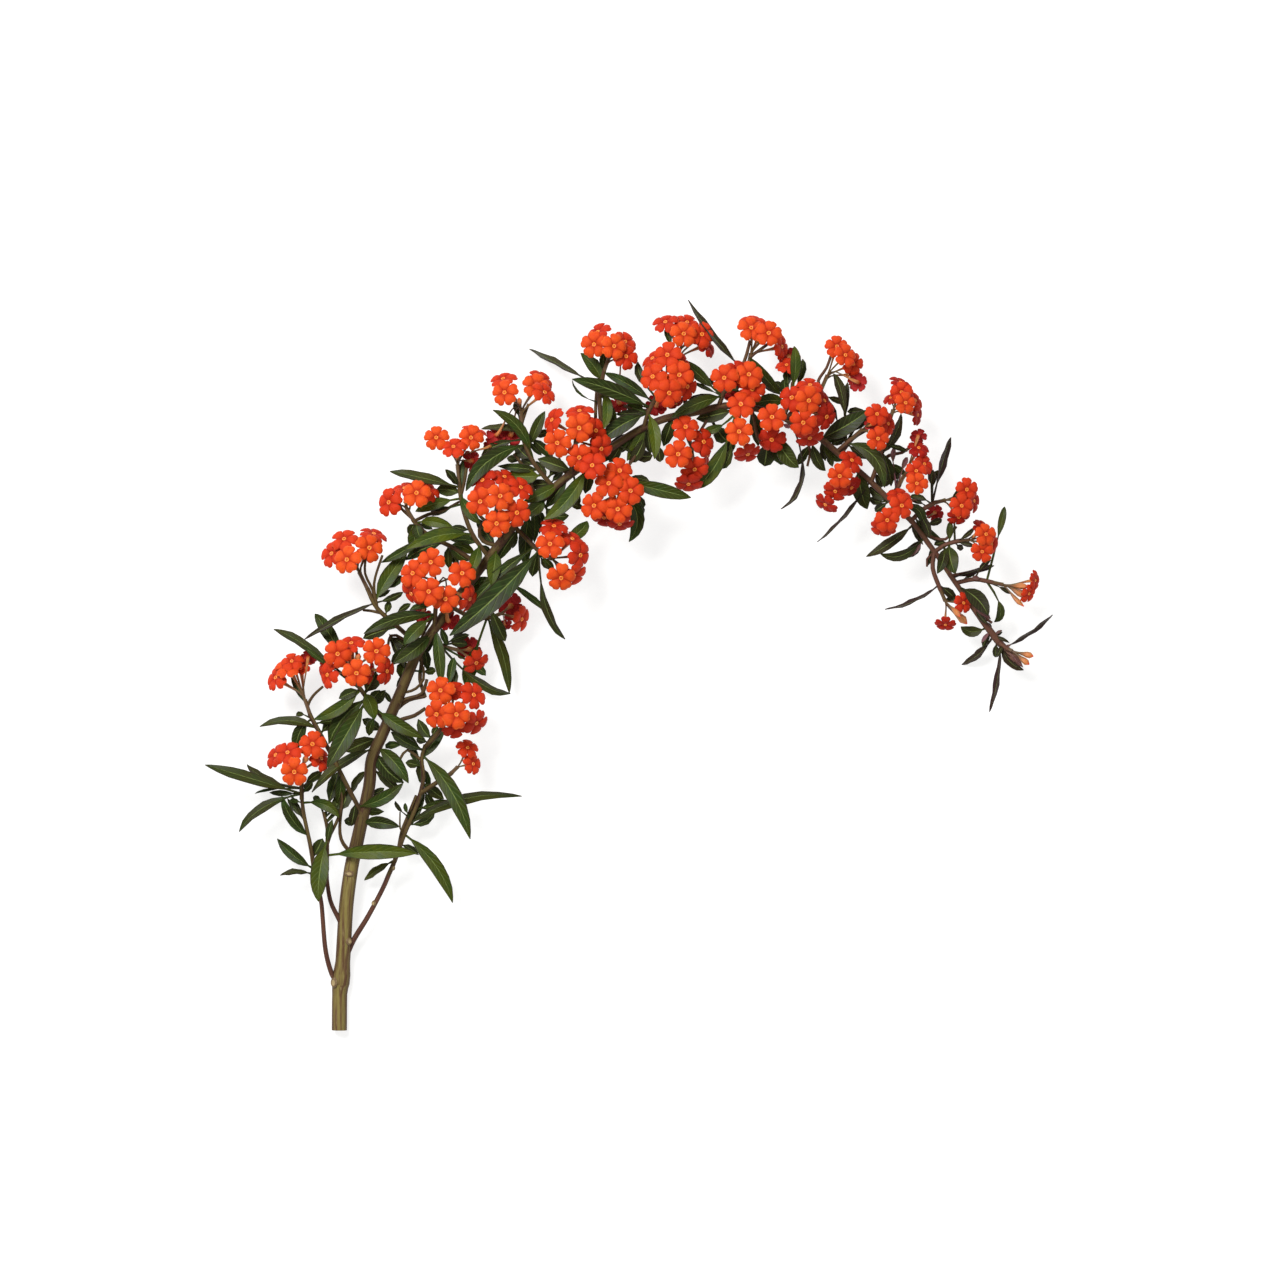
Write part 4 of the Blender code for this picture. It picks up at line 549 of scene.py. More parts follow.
# Side twigs that the frame leaves out: x, y, height and radius along each
MORE_TWIGS = {
    "leafy_stem_1": (
        ((9.3, 97, 13.4, 1.2), (4.5, 101, 14, 1.1), (1.5, 106, 15, 1), (0.8, 113, 16, 0.9),
         (2, 123, 17, 0.8), (3.5, 131, 17, 0.8)),
        ((31.5, 180, 20, 1.1), (37, 183, 20, 1.1), (46, 186, 20, 1), (49, 194, 21, 0.9)),
        ((25, 165, 18, 1.2), (33, 171, 18, 1.2), (42, 174, 19, 1.1), (48, 178, 21, 1)),
        ((-16.5, 179.5, 22, 0.9), (-13.5, 185, 23, 0.8), (-8, 190, 26, 0.7)),
        ((9, 199, 32, 0.9), (11, 206, 31, 0.8), (10, 213, 33, 0.8)),
        ((28, 172, 19.5, 1.1), (33, 178, 19, 1.1), (39, 182.5, 19, 1), (48, 184.5, 20, 0.9)),
        ((38, 187, 21, 0.8), (43, 189, 20, 0.8), (47, 194, 20, 0.8), (47, 201, 22, 0.7)),
    ),
    "leafy_twig_middle": (
        ((-6, 103, 17.4, 1), (-4, 109, 18, 0.9), (-1, 115, 18.5, 0.9), (2, 124, 19, 0.8), (2, 133, 19, 0.7),
         ),
    ),
    "leafy_stem_2": (
        ((45, 210, 21, 1.3), (46, 203, 19, 1.2), (45, 194, 18, 1.1), (48, 184, 19, 1)),
        ((22, 233, 29, 1), (20.3, 243, 30, 0.8), (21, 250, 32, 0.7), (25, 262, 34, 0.7)),
        ((22, 233, 29, 1), (19.5, 243, 30, 0.8), (15.5, 252, 33, 0.7), (16, 262, 35, 0.7)),
        ((45, 210, 22, 1), (36, 216, 20, 0.9), (29, 218, 21, 0.8), (27, 206, 26, 0.7)),
        ((24, 229, 28, 0.9), (19, 231.5, 27, 0.8), (14, 232, 26, 0.7)),
        ((44, 211, 20, 0.9), (47, 219, 20, 0.8), (52, 228, 22, 0.8)),
    ),
    "leafy_stem_3": (
        ((41, 280, 29, 0.9), (50, 284.5, 28, 1), (58, 286.5, 28, 0.9), (67, 291.5, 28, 0.7)),
        ((88, 267, 26, 1.3), (80, 270, 27, 1.2), (78, 276, 30, 1), (84, 284, 34, 0.8)),
        ((87, 276, 31, 1), (79, 283, 31, 0.9), (74, 291, 32, 0.8)),
        ((70, 295, 31, 0.9), (70, 303, 31, 0.9), (71, 310, 31, 0.9)),
        ((40, 283, 29, 0.9), (35, 288, 28, 0.8), (34, 293, 28, 0.7)),
    ),
    "leafy_stem_4": (
        ((110, 291, 28, 1.4), (106, 301, 28, 1.2), (103, 309, 28, 1), (97, 318, 28, 0.9)),
        ((128, 306, 28, 1.2), (121, 311, 27, 1.1), (117, 318, 29, 0.9), (119, 324, 33, 0.8)),
        ((102, 334, 29, 1), (103, 340, 29, 0.9), (105, 345, 30, 0.8)),
    ),
    "leafy_stem_5": (
        ((166, 331, 29, 1.3), (163, 325, 27, 1.1), (164, 318, 27, 1), (159, 310, 29, 0.8)),
        ((171, 341, 33, 1.1), (163, 342, 31, 0.9), (157, 344, 31, 0.8)),
        ((142, 335, 30, 1), (141.8, 344, 29, 0.9), (142.2, 352, 28, 0.8)),
    ),
    "leafy_stem_6": (
        ((213, 344, 29, 1.3), (210, 338, 27, 1.2), (204, 337, 28, 1), (199, 330, 30, 0.8)),
        ((227, 343, 29, 1.3), (229, 334, 28, 1.2), (231, 326, 30, 0.9), (234, 322, 32, 0.8)),
        ((222, 364, 30, 1), (224.5, 372, 29, 1), (226.5, 380, 29, 0.9)),
        ((227, 371, 28, 0.9), (231.5, 374.5, 28, 0.9), (237, 378.5, 28, 0.8)),
    ),
    "leafy_stem_7": (
        ((276, 317, 27, 1.1), (283, 326, 29, 0.9), (291, 331, 31, 0.8)),
        ((264, 358, 26, 0.9), (268.5, 365, 27, 0.8), (271, 372, 28, 0.8)),
        ((258, 325, 27, 0.9), (259.5, 319, 26, 0.8), (258, 311, 25, 0.7)),
        ((297, 312, 24, 1), (303, 317, 24, 1), (310, 318.5, 25, 0.9), (315, 322, 27, 0.8)),
    ),
    "leafy_stem_8": (
        ((309, 288, 22, 1), (314, 292, 22, 0.9), (322.5, 292.8, 22, 0.7)),
        ((317, 279, 22, 1), (325, 273, 21, 0.9), (334, 271, 21, 0.8), (340, 278, 22, 0.7)),
    ),
    "leafy_stem_9": (
        ((328, 264, 21, 0.8), (324, 260, 19, 0.7), (324, 256, 18, 0.6)),
        ((337, 251, 19, 0.9), (347, 253, 18, 0.8), (360, 257, 18, 0.6)),
        ((349, 234, 16, 1), (355, 228.5, 16, 0.9), (360, 225, 16, 0.7)),
        ((349, 234.5, 16.4, 1.4), (356, 224.5, 15.2, 1.8), (363, 215.5, 13.2, 2.1),
         (367.5, 210.8, 12.4, 1.8), (371, 208.3, 12.2, 1.1)),
    ),
    "leafy_twig_right": (
        ((32.5, 101, 13.5, 1.2), (35, 110, 13.5, 1.1), (38.5, 119, 14.5, 1), (43, 130, 17, 0.9)),
        ((36, 108, 15, 0.6), (34, 112, 15, 0.5), (34, 121, 16, 0.4)),
        ((46, 150, 19, 0.9), (38, 155, 17, 0.8), (34, 150, 17, 0.8)),
    ),
}

# Small mauve leaves at the flower stalks' feet near the tip, which the frame leaves out
BRACTS = {
    "leafy_stem_9": (
        (364, 212, 377, 200.5, 4.2, 0.6, 3), (350, 234, 359, 227, 3.2, 0.4, 4),
        (347, 253, 353, 249, 2.6, 0, 2), (361, 219.5, 365.5, 221, 1.6, 0, 2),
        (358, 221, 354, 214, 2.2, 0, 2), (366, 211.5, 370.5, 213, 1.5, 0, 2),
    ),
    "leafy_stem_8": (
        (301, 316, 306, 321, 3, 0, 0), (309, 311, 313, 316, 3, 0, -2), (324, 268, 315, 261.5, 3, -0.8, 1),
    ),
    "leafy_stem_7": (
        (248, 330, 245, 334, 2.6, 0, 2),
    ),
}

# How far three leaves are bowed beyond the frame's, by the foot of the leaf, in millimetres
BENDS = {(258, 314): 6.0, (213, 363): 4.0, (41, 113): 2.0}

BLOOMS = tuple(Bloom(f"bloom_{number:02d}", *row) for number, row in enumerate(BLOOM_ROWS, 1))
MAIN_LINE = (WOODY_STEM, *(path for node, path in LEAFY_AXES.items() if "leafy_stem" in node))


def leaves_of(rows: Sequence[tuple]) -> list[Leaf]:
    """Turns rows of a leaf table into leaves."""
    return [Leaf(row[:2], row[2:4], *row[4:]) for row in rows]


def plan_point(place: Sequence[float]) -> Vector:
    """Turns a place in millimetres from the cut end into a point about PLAN_CENTRE."""
    return Vector(place[:3]) - PLAN_CENTRE


def left_of(way: Vector) -> Vector:
    """Returns the level direction to the left of a way."""
    return Vector((-way.y, way.x, 0.0)).normalized()


def path_length(points: Sequence[Vector]) -> float:
    """Returns the length of a polyline."""
    return sum((after - before).length for before, after in zip(points, points[1:]))


def path_point(points: Sequence[Vector], wanted: float) -> Vector:
    """Finds the point at a length along a polyline.

    Args:
        points: The polyline's corners.
        wanted: The length from its first corner.

    Returns:
        The point, which is the last corner past the polyline's end.
    """
    passed = 0.0
    for before, after in zip(points, points[1:]):
        stretch = (after - before).length
        if wanted <= passed + stretch + TINY:
            return before.lerp(after, (wanted - passed) / stretch)
        passed += stretch
    return points[-1].copy()


def smooth_path(points: Sequence[Vector], values: Sequence[float], step: float,
                before: Optional[Vector] = None, after: Optional[Vector] = None) -> StemPath:
    """Rounds a polyline into a smooth curve through its own corners.

    Args:
        points: The corners, in millimetres.
        values: One number at each corner, such as a radius.
        step: The wanted distance between the points of the curve.
        before: A corner before the first, where the curve is part of a longer one.
        after: A corner that comes after the last.

    Returns:
        Each point of the curve with its own value.
    """
    first = before or points[0] * 2 - points[1]
    last = after or points[-1] * 2 - points[-2]
    ends = [first, *points, last]
    curve = []
    for index in range(len(points) - 1):
        prior, start, end, later = ends[index:index + 4]
        count = max(1, round((end - start).length / step))
        for part in range(count):
            share = part / count
            place = (start * 2 + (end - prior) * share
                     + (prior * 2 - start * 5 + end * 4 - later) * share ** 2
                     + (start * 3 - prior - end * 3 + later) * share ** 3) / 2
            curve.append((place, values[index] + (values[index + 1] - values[index]) * share))
    curve.append((points[-1].copy(), values[-1]))
    return curve


def stem_path(places: Sequence[tuple]) -> StemPath:
    """Smooths places with radii into a stem's middle line, in line with the main stem.

    Args:
        places: The stem's x, y, height and radius along its way.

    Returns:
        The middle line, with the stem's radius at each point.
    """
    before = after = None
    if places in MAIN_LINE:
        spot = MAIN_LINE.index(places)
        before = plan_point(MAIN_LINE[spot - 1][-2]) if spot else None
        after = plan_point(MAIN_LINE[spot + 1][1]) if spot + 1 < len(MAIN_LINE) else None
    points = [plan_point(place) for place in places]
    return smooth_path(points, [place[3] for place in places], STEM_STEP, before, after)


class FrameCorners:
    """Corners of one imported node, to find again where a leaf or a floret of it lies."""

    def __init__(self, node: str) -> None:
        """Sorts a node's corners by their place, in millimetres.

        Args:
            node: The name of the node.
        """
        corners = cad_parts[node].data.vertices
        self.tree = KDTree(len(corners))
        for index, corner in enumerate(corners):
            self.tree.insert(corner.co / MM, index)
        self.tree.balance()

    def miss(self, probes: Sequence[Vector]) -> float:
        """Returns how far in all the probes lie from the node's corners, at most 1 mm each."""
        return sum(min(self.tree.find(probe)[2], 1.0) for probe in probes)


@dataclass(frozen=True)
class Spine:
    """The curved midrib of one leaf, in millimetres, with how the blade sits across it."""

    root: Vector
    middle: Vector
    tip: Vector
    petiole: float
    roll: float
    width: float
    blade: float

    def centre(self, share: float) -> Vector:
        """Returns the point at a share of the way from root to tip."""
        rest = 1 - share
        return self.root * rest ** 2 + self.middle * 2 * share * rest + self.tip * share ** 2

    def cross(self, share: float, twist: float = 0.0) -> tuple[Vector, Vector]:
        """Finds the two directions across the midrib.

        Args:
            share: The share of the way from root to tip.
            twist: How far the blade is turned about its midrib there, in radians.

        Returns:
            The way to the blade's left edge, and the way that its upper face looks.
        """
        ahead = ((self.middle - self.root) * (1 - share) + (self.tip - self.middle) * share)
        ahead.normalize()
        side = left_of(ahead)
        upward = ahead.cross(side).normalized()
        turn = self.roll + twist
        lean = side * math.cos(turn) + upward * math.sin(turn)
        return lean, upward * math.cos(turn) - side * math.sin(turn)

    def foot(self) -> float:
        """Returns the share of the way that lies over the blade's foot, seen from above."""
        return self.petiole / (1 + FOOT_CURVE * self.petiole)

    def bent(self, more: float) -> "Spine":
        """Returns the midrib bowed some millimetres more to the left, with its ends in place."""
        return replace(self, middle=self.middle + left_of(self.tip - self.root) * more * 2)

    def probes(self) -> list[Vector]:
        """Finds the corners of the frame's own blade at its widest ring, and its tip.

        Returns:
            The two corners and the tip.
        """
        small = self.blade < SMALL_LEAF_LENGTH
        share, width_share = SMALL_PROBE if small else LARGE_PROBE
        place = self.petiole + (1 - self.petiole) * share
        centre = self.centre(place)
        lean, normal = self.cross(place)
        width = self.width * width_share
        fold = normal * LEAF_FOLD * width
        return [centre + lean * width / 2 + fold, centre + normal * LEAF_THICKNESS / 2,
                centre - lean * width / 2 + fold, centre - normal * LEAF_THICKNESS / 2, self.tip]


def leaf_spine(leaf: Leaf, root: Vector, tip_height: float) -> Spine:
    """Bends a leaf's midrib as the frame does.

    Args:
        leaf: The leaf as the layout gives it.
        root: Its root on the stem.
        tip_height: The height of its tip.

    Returns:
        The midrib.
    """
    base = plan_point((*leaf.base, root.z + FOOT_HEIGHT_SHARE * (tip_height - root.z)))
    tip = plan_point((*leaf.tip, tip_height))
    chord = tip - base
    arch = Vector((0, 0, LEAF_ARCH * chord.length))
    middle = (base + tip) / 2 + left_of(chord) * leaf.bow * 2 + arch
    petiole = (base - root).length / ((base - root).length + chord.length)
    width = max(leaf.width, leaf.seen_width)
    roll = math.acos(leaf.seen_width / width)
    return Spine(root, middle, tip, petiole, roll, width, chord.length)


@dataclass(frozen=True)
class Head:
    """One floret or bud as it stands in the frame, in millimetres."""

    look: Look
    centre: Vector
    start: Vector
    fork: Vector
    turn: float
    size: float = 1.0

    def facing(self) -> Vector:
        """Returns the way that the floret's face looks."""
        away = (self.centre - self.fork).normalized()
        return (away * self.look.outward + Vector((0, 0, self.look.upward))).normalized()

    def axes(self) -> tuple[Vector, Vector, Vector]:
        """Works out the floret's own right, up and facing directions.

        Returns:
            The three directions.
        """
        facing = self.facing()
        along = Vector((1, 0, 0)) if abs(facing.x) < NEARLY_ALONG else Vector((0, 1, 0))
        right = along.cross(facing).normalized()
        return right, facing.cross(right).normalized(), facing

    def bud_end(self) -> Vector:
        """Returns the tip of the bud."""
        return self.centre + (self.centre - self.start).normalized() * BUD_REACH

    def probes(self) -> list[Vector]:
        """Finds the corners that the frame's own petals have.

        Returns:
            The corners.
        """
        if self.look is Look.BUD:
            return [self.bud_end()]
        right, up, facing = self.axes()
        corners = []
        for petal in range(PETALS):
            for share in PETAL_CORNERS:
                angle = self.turn + 2 * math.pi * (petal / PETALS + share)
                way = right * math.cos(angle) + up * math.sin(angle)
                reach = FLORET_RADIUS * self.size
                corners.append(self.centre + way * reach + facing * PETAL_DROP)
        return corners


class Layout:
    """Finds again in the frame where its leaves and florets lie."""

    def __init__(self) -> None:
        """Lays out each node's stem and the shoots on it, where leaves may be rooted."""
        self.axes = {node: [[plan_point(place) for place in path]]
                     for node, path in LEAFY_AXES.items()}
        for bloom in BLOOMS:
            centres = [plan_point(place) for place in bloom.path]
            way = (centres[-1] - centres[-2]).normalized()
            self.axes[bloom.host].append(centres[:-1] + [centres[-2] + way * SHOOT_STEP])

    def roots_near(self, node: str, base: Sequence[float]) -> list[Vector]:
        """Lists the places on a node's stems where a leaf may be rooted.

        Args:
            node: The leafy stem's name.
            base: The foot of the leaf's blade, in millimetres from the cut end.

        Returns:
            The places, the nearest first.
        """
        target = plan_point((*base, 0.0))
        found = []
        for axis in self.axes[node]:
            total = path_length(axis)
            steps = max(int(total / ROOT_STEP), 2)
            for step in range(1, steps):
                point = path_point(axis, total * step / steps)
                found.append(((point.xy - target.xy).length, point))
        found.sort(key=lambda entry: entry[0])
        return [point for distance, point in found if distance < found[0][0] + ROOT_REACH]

    def spine(self, node: str, leaf: Leaf, corners: FrameCorners) -> Spine:
        """Finds how the frame bent one leaf.

        Args:
            node: The leafy stem that bears it.
            leaf: The leaf as the layout gives it.
            corners: The node's corners.

        Returns:
            The midrib whose blade meets the node's corners best, bowed further if BENDS says.
        """
        best: Optional[tuple[float, Spine]] = None
        for root in self.roots_near(node, leaf.base):
            heights = {max(root.z + leaf.rise + lift, LEAF_LOWEST) for lift in LEAF_LIFTS}
            for height in heights | {0.0}:
                spine = leaf_spine(leaf, root, height)
                miss = corners.miss(spine.probes())
                if best is None or miss < best[0]:
                    best = (miss, spine)
        if best[0] > LEAF_MISS:
            log.warning("leaf at %s of %s lies %.2f mm from its solid", leaf.base, node, best[0])
        return best[1].bent(BENDS.get(leaf.base, 0.0))

    def added_spine(self, node: str, leaf: Leaf) -> Spine:
        """Bends a leaf that the frame leaves out from the nearest place on the node's stems."""
        root = self.roots_near(node, leaf.base)[0]
        return leaf_spine(leaf, root, max(root.z + leaf.rise, LEAF_LOWEST))

    def rooted(self, node: str, twig: Sequence[tuple]) -> list[tuple]:
        """Starts a side twig inside the nearest stem of its node.

        Args:
            node: The leafy stem that bears it.
            twig: The twig's x, y, height and radius along its way.

        Returns:
            The twig, which begins on the stem's middle line.
        """
        start = plan_point(twig[0])
        spots = [path_point(axis, path_length(axis) * step / ROOT_SPOTS)
                 for axis in self.axes[node] for step in range(ROOT_SPOTS + 1)]
        root = min(spots, key=lambda spot: (spot - start).length)
        kept = twig[1:] if (root - start).length < ROOT_SNAP else twig
        return [(*(root + PLAN_CENTRE), twig[0][3]), *kept]

    def heads(self, bloom: Bloom) -> list[Head]:
        """Finds where the frame stood each floret of a bloom, and adds those it leaves out.

        Args:
            bloom: The bloom as the layout gives it.

        Returns:
            Its florets and buds.
        """
        corners = FrameCorners(bloom.name)
        before, fork = plan_point(bloom.path[-2]), plan_point(bloom.path[-1])
        back = (before - fork).normalized()
        room = (before - fork).length - SHOOT_STEP - JOINT_GAP - 2 * FORK_SINK
        step = min(FORK_STEP, room / len(bloom.florets))
        heads = []
        for index, (x, y, letter) in enumerate(bloom.florets):
            look = Look.of(letter)
            start = fork + back * (FORK_SINK + index * step)
            place = plan_point((x, y, 0.0))
            outward = Vector((place.x - fork.x, place.y - fork.y, 0.0)).normalized()
            tried = []
            for push in FLORET_PUSHES:
                centre = place + outward * push
                flat = (centre.xy - fork.xy).length
                height = math.sqrt(max(PEDICEL_REACH ** 2 - flat ** 2, LEAST_HEIGHT ** 2))
                for lift in FLORET_LIFTS:
                    centre.z = fork.z + look.rise * height + lift
                    turn = index * FLORET_TURN
                    tried.append(Head(look, centre.copy(), start, fork, turn, bloom.size))
            heads.append(min(tried, key=lambda head: corners.miss(head.probes())))
            if corners.miss(heads[-1].probes()) > FLORET_MISS:
                log.warning("floret %d of %s is not where its solid is", index + 1, bloom.name)
        # An added floret's turn is its own x in radians, which is as good as chance
        for x, y, height, letter, size in bloom.added:
            centre = plan_point((x, y, height))
            heads.append(Head(Look.of(letter), centre, fork, fork, x, size))
        return heads


class Follows(Enum):
    """What a pattern follows, and how many millimetres one unit of that is.

    It is the piece's place, a petal's own map from root to rim, or the round of a stem.
    """

    PLACE = ("Object", 1000.0)
    SHEET = ("UV", FLORET_RADIUS)
    STEM = ("side", 1.0)


def linear(code: str) -> tuple[float, float, float, float]:
    """Turns an sRGB hex colour into linear numbers.

    Args:
        code: The colour, such as "#FF5A1E".

    Returns:
        Red, green, blue and a full opacity, as shaders take them.
    """
    shares = [int(code[start:start + 2], 16) / 255 for start in (1, 3, 5)]
    red, green, blue = [s / 12.92 if s <= 0.04045 else ((s + 0.055) / 1.055) ** 2.4 for s in shares]
    return red, green, blue, 1.0


class Coat:
    """A material in the making: colours laid one over another on its shader."""

    def __init__(self, name: str, roughness: float, ground: str, **constants: Any) -> None:
        """Starts a material.

        Args:
            name: Its name.
            roughness: Its roughness.
            ground: The colour under all the others.
            constants: Other inputs of its shader, with underscores for spaces.
        """
        self.material = bpy.data.materials.new(name)
        self.material.use_nodes = True
        self.shader = self.material.node_tree.nodes["Principled BSDF"]
        for socket, value in {"Roughness": roughness, **constants}.items():
            self.shader.inputs[socket.replace("_", " ")].default_value = value
        self.body: Any = linear(ground)

    def node(self, kind: str, links: dict[Union[str, int], Any], output: Union[str, int] = 0,
             **settings: Any) -> Socket:
        """Adds a shader node.

        Args:
            kind: The node's type, after the word that all of them begin with.
            links: What its inputs hold: a socket to link, or a number or colour to set.
            output: Which of its outputs is wanted.
            settings: The node's own settings.

        Returns:
            The wanted output.
        """
        tree = self.material.node_tree
        node = tree.nodes.new(f"ShaderNode{kind}")
        for name, value in settings.items():
            setattr(node, name, value)
        for name, value in links.items():
            if isinstance(value, Socket):
                tree.links.new(value, node.inputs[name])
            else:
                node.inputs[name].default_value = value
        return node.outputs[output]

    def sheet(self) -> tuple[Socket, Socket]:
        """Reads how far along its UV map a point lies, and how far off its middle line.

        Returns:
            The two sockets.
        """
        along = self.node("SeparateXYZ", {0: self.node("TexCoord", {}, "UV")})
        off = self.node("Math", {0: along.node.outputs[1], 1: 0.5}, operation="SUBTRACT")
        return along, self.node("Math", {0: off}, operation="ABSOLUTE")

    def grain(self, size: float, detail: float = 3.0, stretch: Point3 = (1.0, 1.0, 1.0),
              follows: Follows = Follows.PLACE) -> Socket:
        """Makes a cloudy pattern.

        Args:
            size: How large its patches are, in millimetres.
            detail: How many finer layers it has.
            stretch: How much denser it is along each axis.
            follows: What the pattern follows.

        Returns:
            The pattern's value, from 0 to 1.
        """
        source, unit = follows.value
        if follows is Follows.STEM:
            places = self.node("Attribute", {}, "Vector", attribute_name=source)
        else:
            places = self.node("TexCoord", {}, source)
        placed = self.node("Mapping", {"Vector": places, "Scale": stretch})
        links = {"Vector": placed, "Scale": unit / size, "Detail": detail, "Roughness": 0.6}
        return self.node("TexNoise", links, "Fac")

    def lay(self, colour: str, value: Any, span: Optional[tuple[float, float]] = None,
            most: float = 1.0, least: float = 0.0) -> None:
        """Lays a colour over what is there.

        Args:
            colour: The colour.
            value: What says how much of it there is, from 0 to 1 where there is no span.
            span: The value where its share starts to change, and where it is full.
            most: Its full share.
            least: Its share before the span.
        """
        if span:
            links = {0: value, 1: span[0], 2: span[1], 3: least, 4: most}
            value = self.node("MapRange", links, **SMOOTH)
        links = {0: value, 6: self.body, 7: linear(colour)}
        self.body = self.node("Mix", links, 2, data_type="RGBA")

    def finish(self, relief: Optional[Socket] = None, depth: float = 0.0) -> Material:
        """Closes the coat.

        Args:
            relief: The pattern of its relief, if it has any.
            depth: How deep the relief is, in millimetres.

        Returns:
            The material.
        """
        links = self.material.node_tree.links
        links.new(self.body, self.shader.inputs["Base Color"])
        if relief is not None:
            bump = self.node("Bump", {"Height": relief, "Distance": depth * MM, "Strength": 1.0})
            links.new(bump, self.shader.inputs["Normal"])
        return self.material


@dataclass(frozen=True)
class PetalFinish:
    """Living petal: soft and matte, with fine veins along it, and painted shade that darkens its root and
    its side edges where the petals meet.

    The upper face runs from orange through red to crimson with the piece's tone, with a painted highlight
    in lighter orange at the petal tips of the orange florets, and the underside is a dull pink. Sizes and
    depths of its patterns are in millimetres.
    """

    orange: str = "#E25216"
    red: str = "#CC3410"
    crimson: str = "#8C0807"
    # Deep red of the veins, also used for the painted shade at the petal's root and side edges.
    root: str = "#9E1606"
    # Light orange of the painted highlight at the petal tips of the orange florets.
    rim: str = "#EE7432"
    under: str = "#C84A4C"
    roughness: float = 0.6
    under_roughness: float = 0.7
    cloud: float = 2.632
    vein: float = 2.6
    vein_stretch: Point3 = (1.0, 6.0, 1.0)
    vein_depth: float = 0.25

    def veins(self, coat: Coat) -> Socket:
        """Makes the pattern of the veins, which run along the petal."""
        return coat.grain(self.vein, 4.0, self.vein_stretch, Follows.SHEET)

    def upper(self) -> Material:
        """Makes the upper face's material.

        Returns:
            The material.
        """
        coat = Coat("petal_upper", self.roughness, self.orange, Specular_IOR_Level=SOFT_SHEEN)
        tone = coat.node("Attribute", {}, "Fac", attribute_name="tone")
        coat.lay(self.red, tone, (0.0, 0.5))
        coat.lay(self.crimson, tone, (0.5, 1.0))
        along, off = coat.sheet()
        # Painted shade: the petal's side edges, where it meets its neighbours, are darkened towards deep
        # red.
        coat.lay(self.root, off, (0.3, 0.5), 0.55)
        coat.lay(self.red, coat.grain(self.cloud, 2.0), (0.45, 0.7), 0.45)
        # Painted shade: the petal darkens towards its root, in the crease round the throat.
        coat.lay(self.root, along, (0.5, 0.02), 0.8)
        # Painted highlight: the petal tips of the orange florets are lightened towards light orange.
        rim_highlight_share = coat.node("MapRange", {0: along, 1: 0.8, 2: 1.0}, **SMOOTH)
        orange = coat.node("MapRange", {0: tone, 1: 0.6, 2: 0.1, 4: 0.5}, **SMOOTH)
        coat.lay(self.rim, coat.node("Math", {0: rim_highlight_share, 1: orange}, operation="MULTIPLY"))
        veins = self.veins(coat)
        coat.lay(self.root, veins, (0.5, 0.75), 0.22)
        return coat.finish(veins, self.vein_depth)

    def lower(self) -> Material:
        """Makes the underside's material.

        Returns:
            The material.
        """
        coat = Coat("petal_underside", self.under_roughness, self.under,
                    Specular_IOR_Level=SOFT_SHEEN)
        tone = coat.node("Attribute", {}, "Fac", attribute_name="tone")
        coat.lay(self.crimson, tone, (0.2, 1.0), 0.75, 0.15)
        coat.lay(self.red, self.veins(coat), (0.4, 0.8), 0.3)
        return coat.finish()


@dataclass(frozen=True)
class ThroatFinish:
    """The floret's fleshy throat: a waxy yellow ring round a small orange well, both speckled."""

    ring: str = "#FFA63C"
    well: str = "#D8480C"
    roughness: float = 0.4
    spot: float = 0.6667

    def make(self, name: str, colour: str) -> Material:
        """Makes the ring's or the well's material.

        Args:
            name: The material's name.
            colour: Its colour.

        Returns:
            The material.
        """
        coat = Coat(name, self.roughness, colour)
        coat.lay(self.well, coat.grain(self.spot, 2.0), (0.35, 0.7), 0.35)
        return coat.finish()


@dataclass(frozen=True)
class StalkFinish:
    """Soft flower stalk: thin brown-green skin that turns peach up the cup, streaked with green.

    The cup's mouth takes the petals' orange-red. Patterns are measured in millimetres.
    """

    skin: str = "#5C4224"
    peach: str = "#CE7E46"
    streak: str = "#6C6A30"
    flush: str = "#5E3428"
    mouth: str = "#D8481C"
    roughness: float = 0.5
    patch_size: float = 3.846
    streak_size: float = 0.9091
    streak_depth: float = 0.15

    def make(self) -> Material:
        """Makes the stalks' material.

        Returns:
            The material.
        """
        coat = Coat("flower_stalk_skin", self.roughness, self.skin, Specular_IOR_Level=SKIN_SHEEN)
        cup = coat.node("Attribute", {}, "Fac", attribute_name="cup")
        coat.lay(self.flush, coat.grain(self.patch_size), (0.45, 0.7), 0.6)
        coat.lay(self.peach, cup, (0.3, 0.8))
        streaks = coat.grain(self.streak_size, 2.0, follows=Follows.STEM)
        coat.lay(self.streak, streaks, (0.48, 0.66), 0.65)
        coat.lay(self.mouth, cup, (0.84, 1.0))
        return coat.finish(streaks, self.streak_depth)


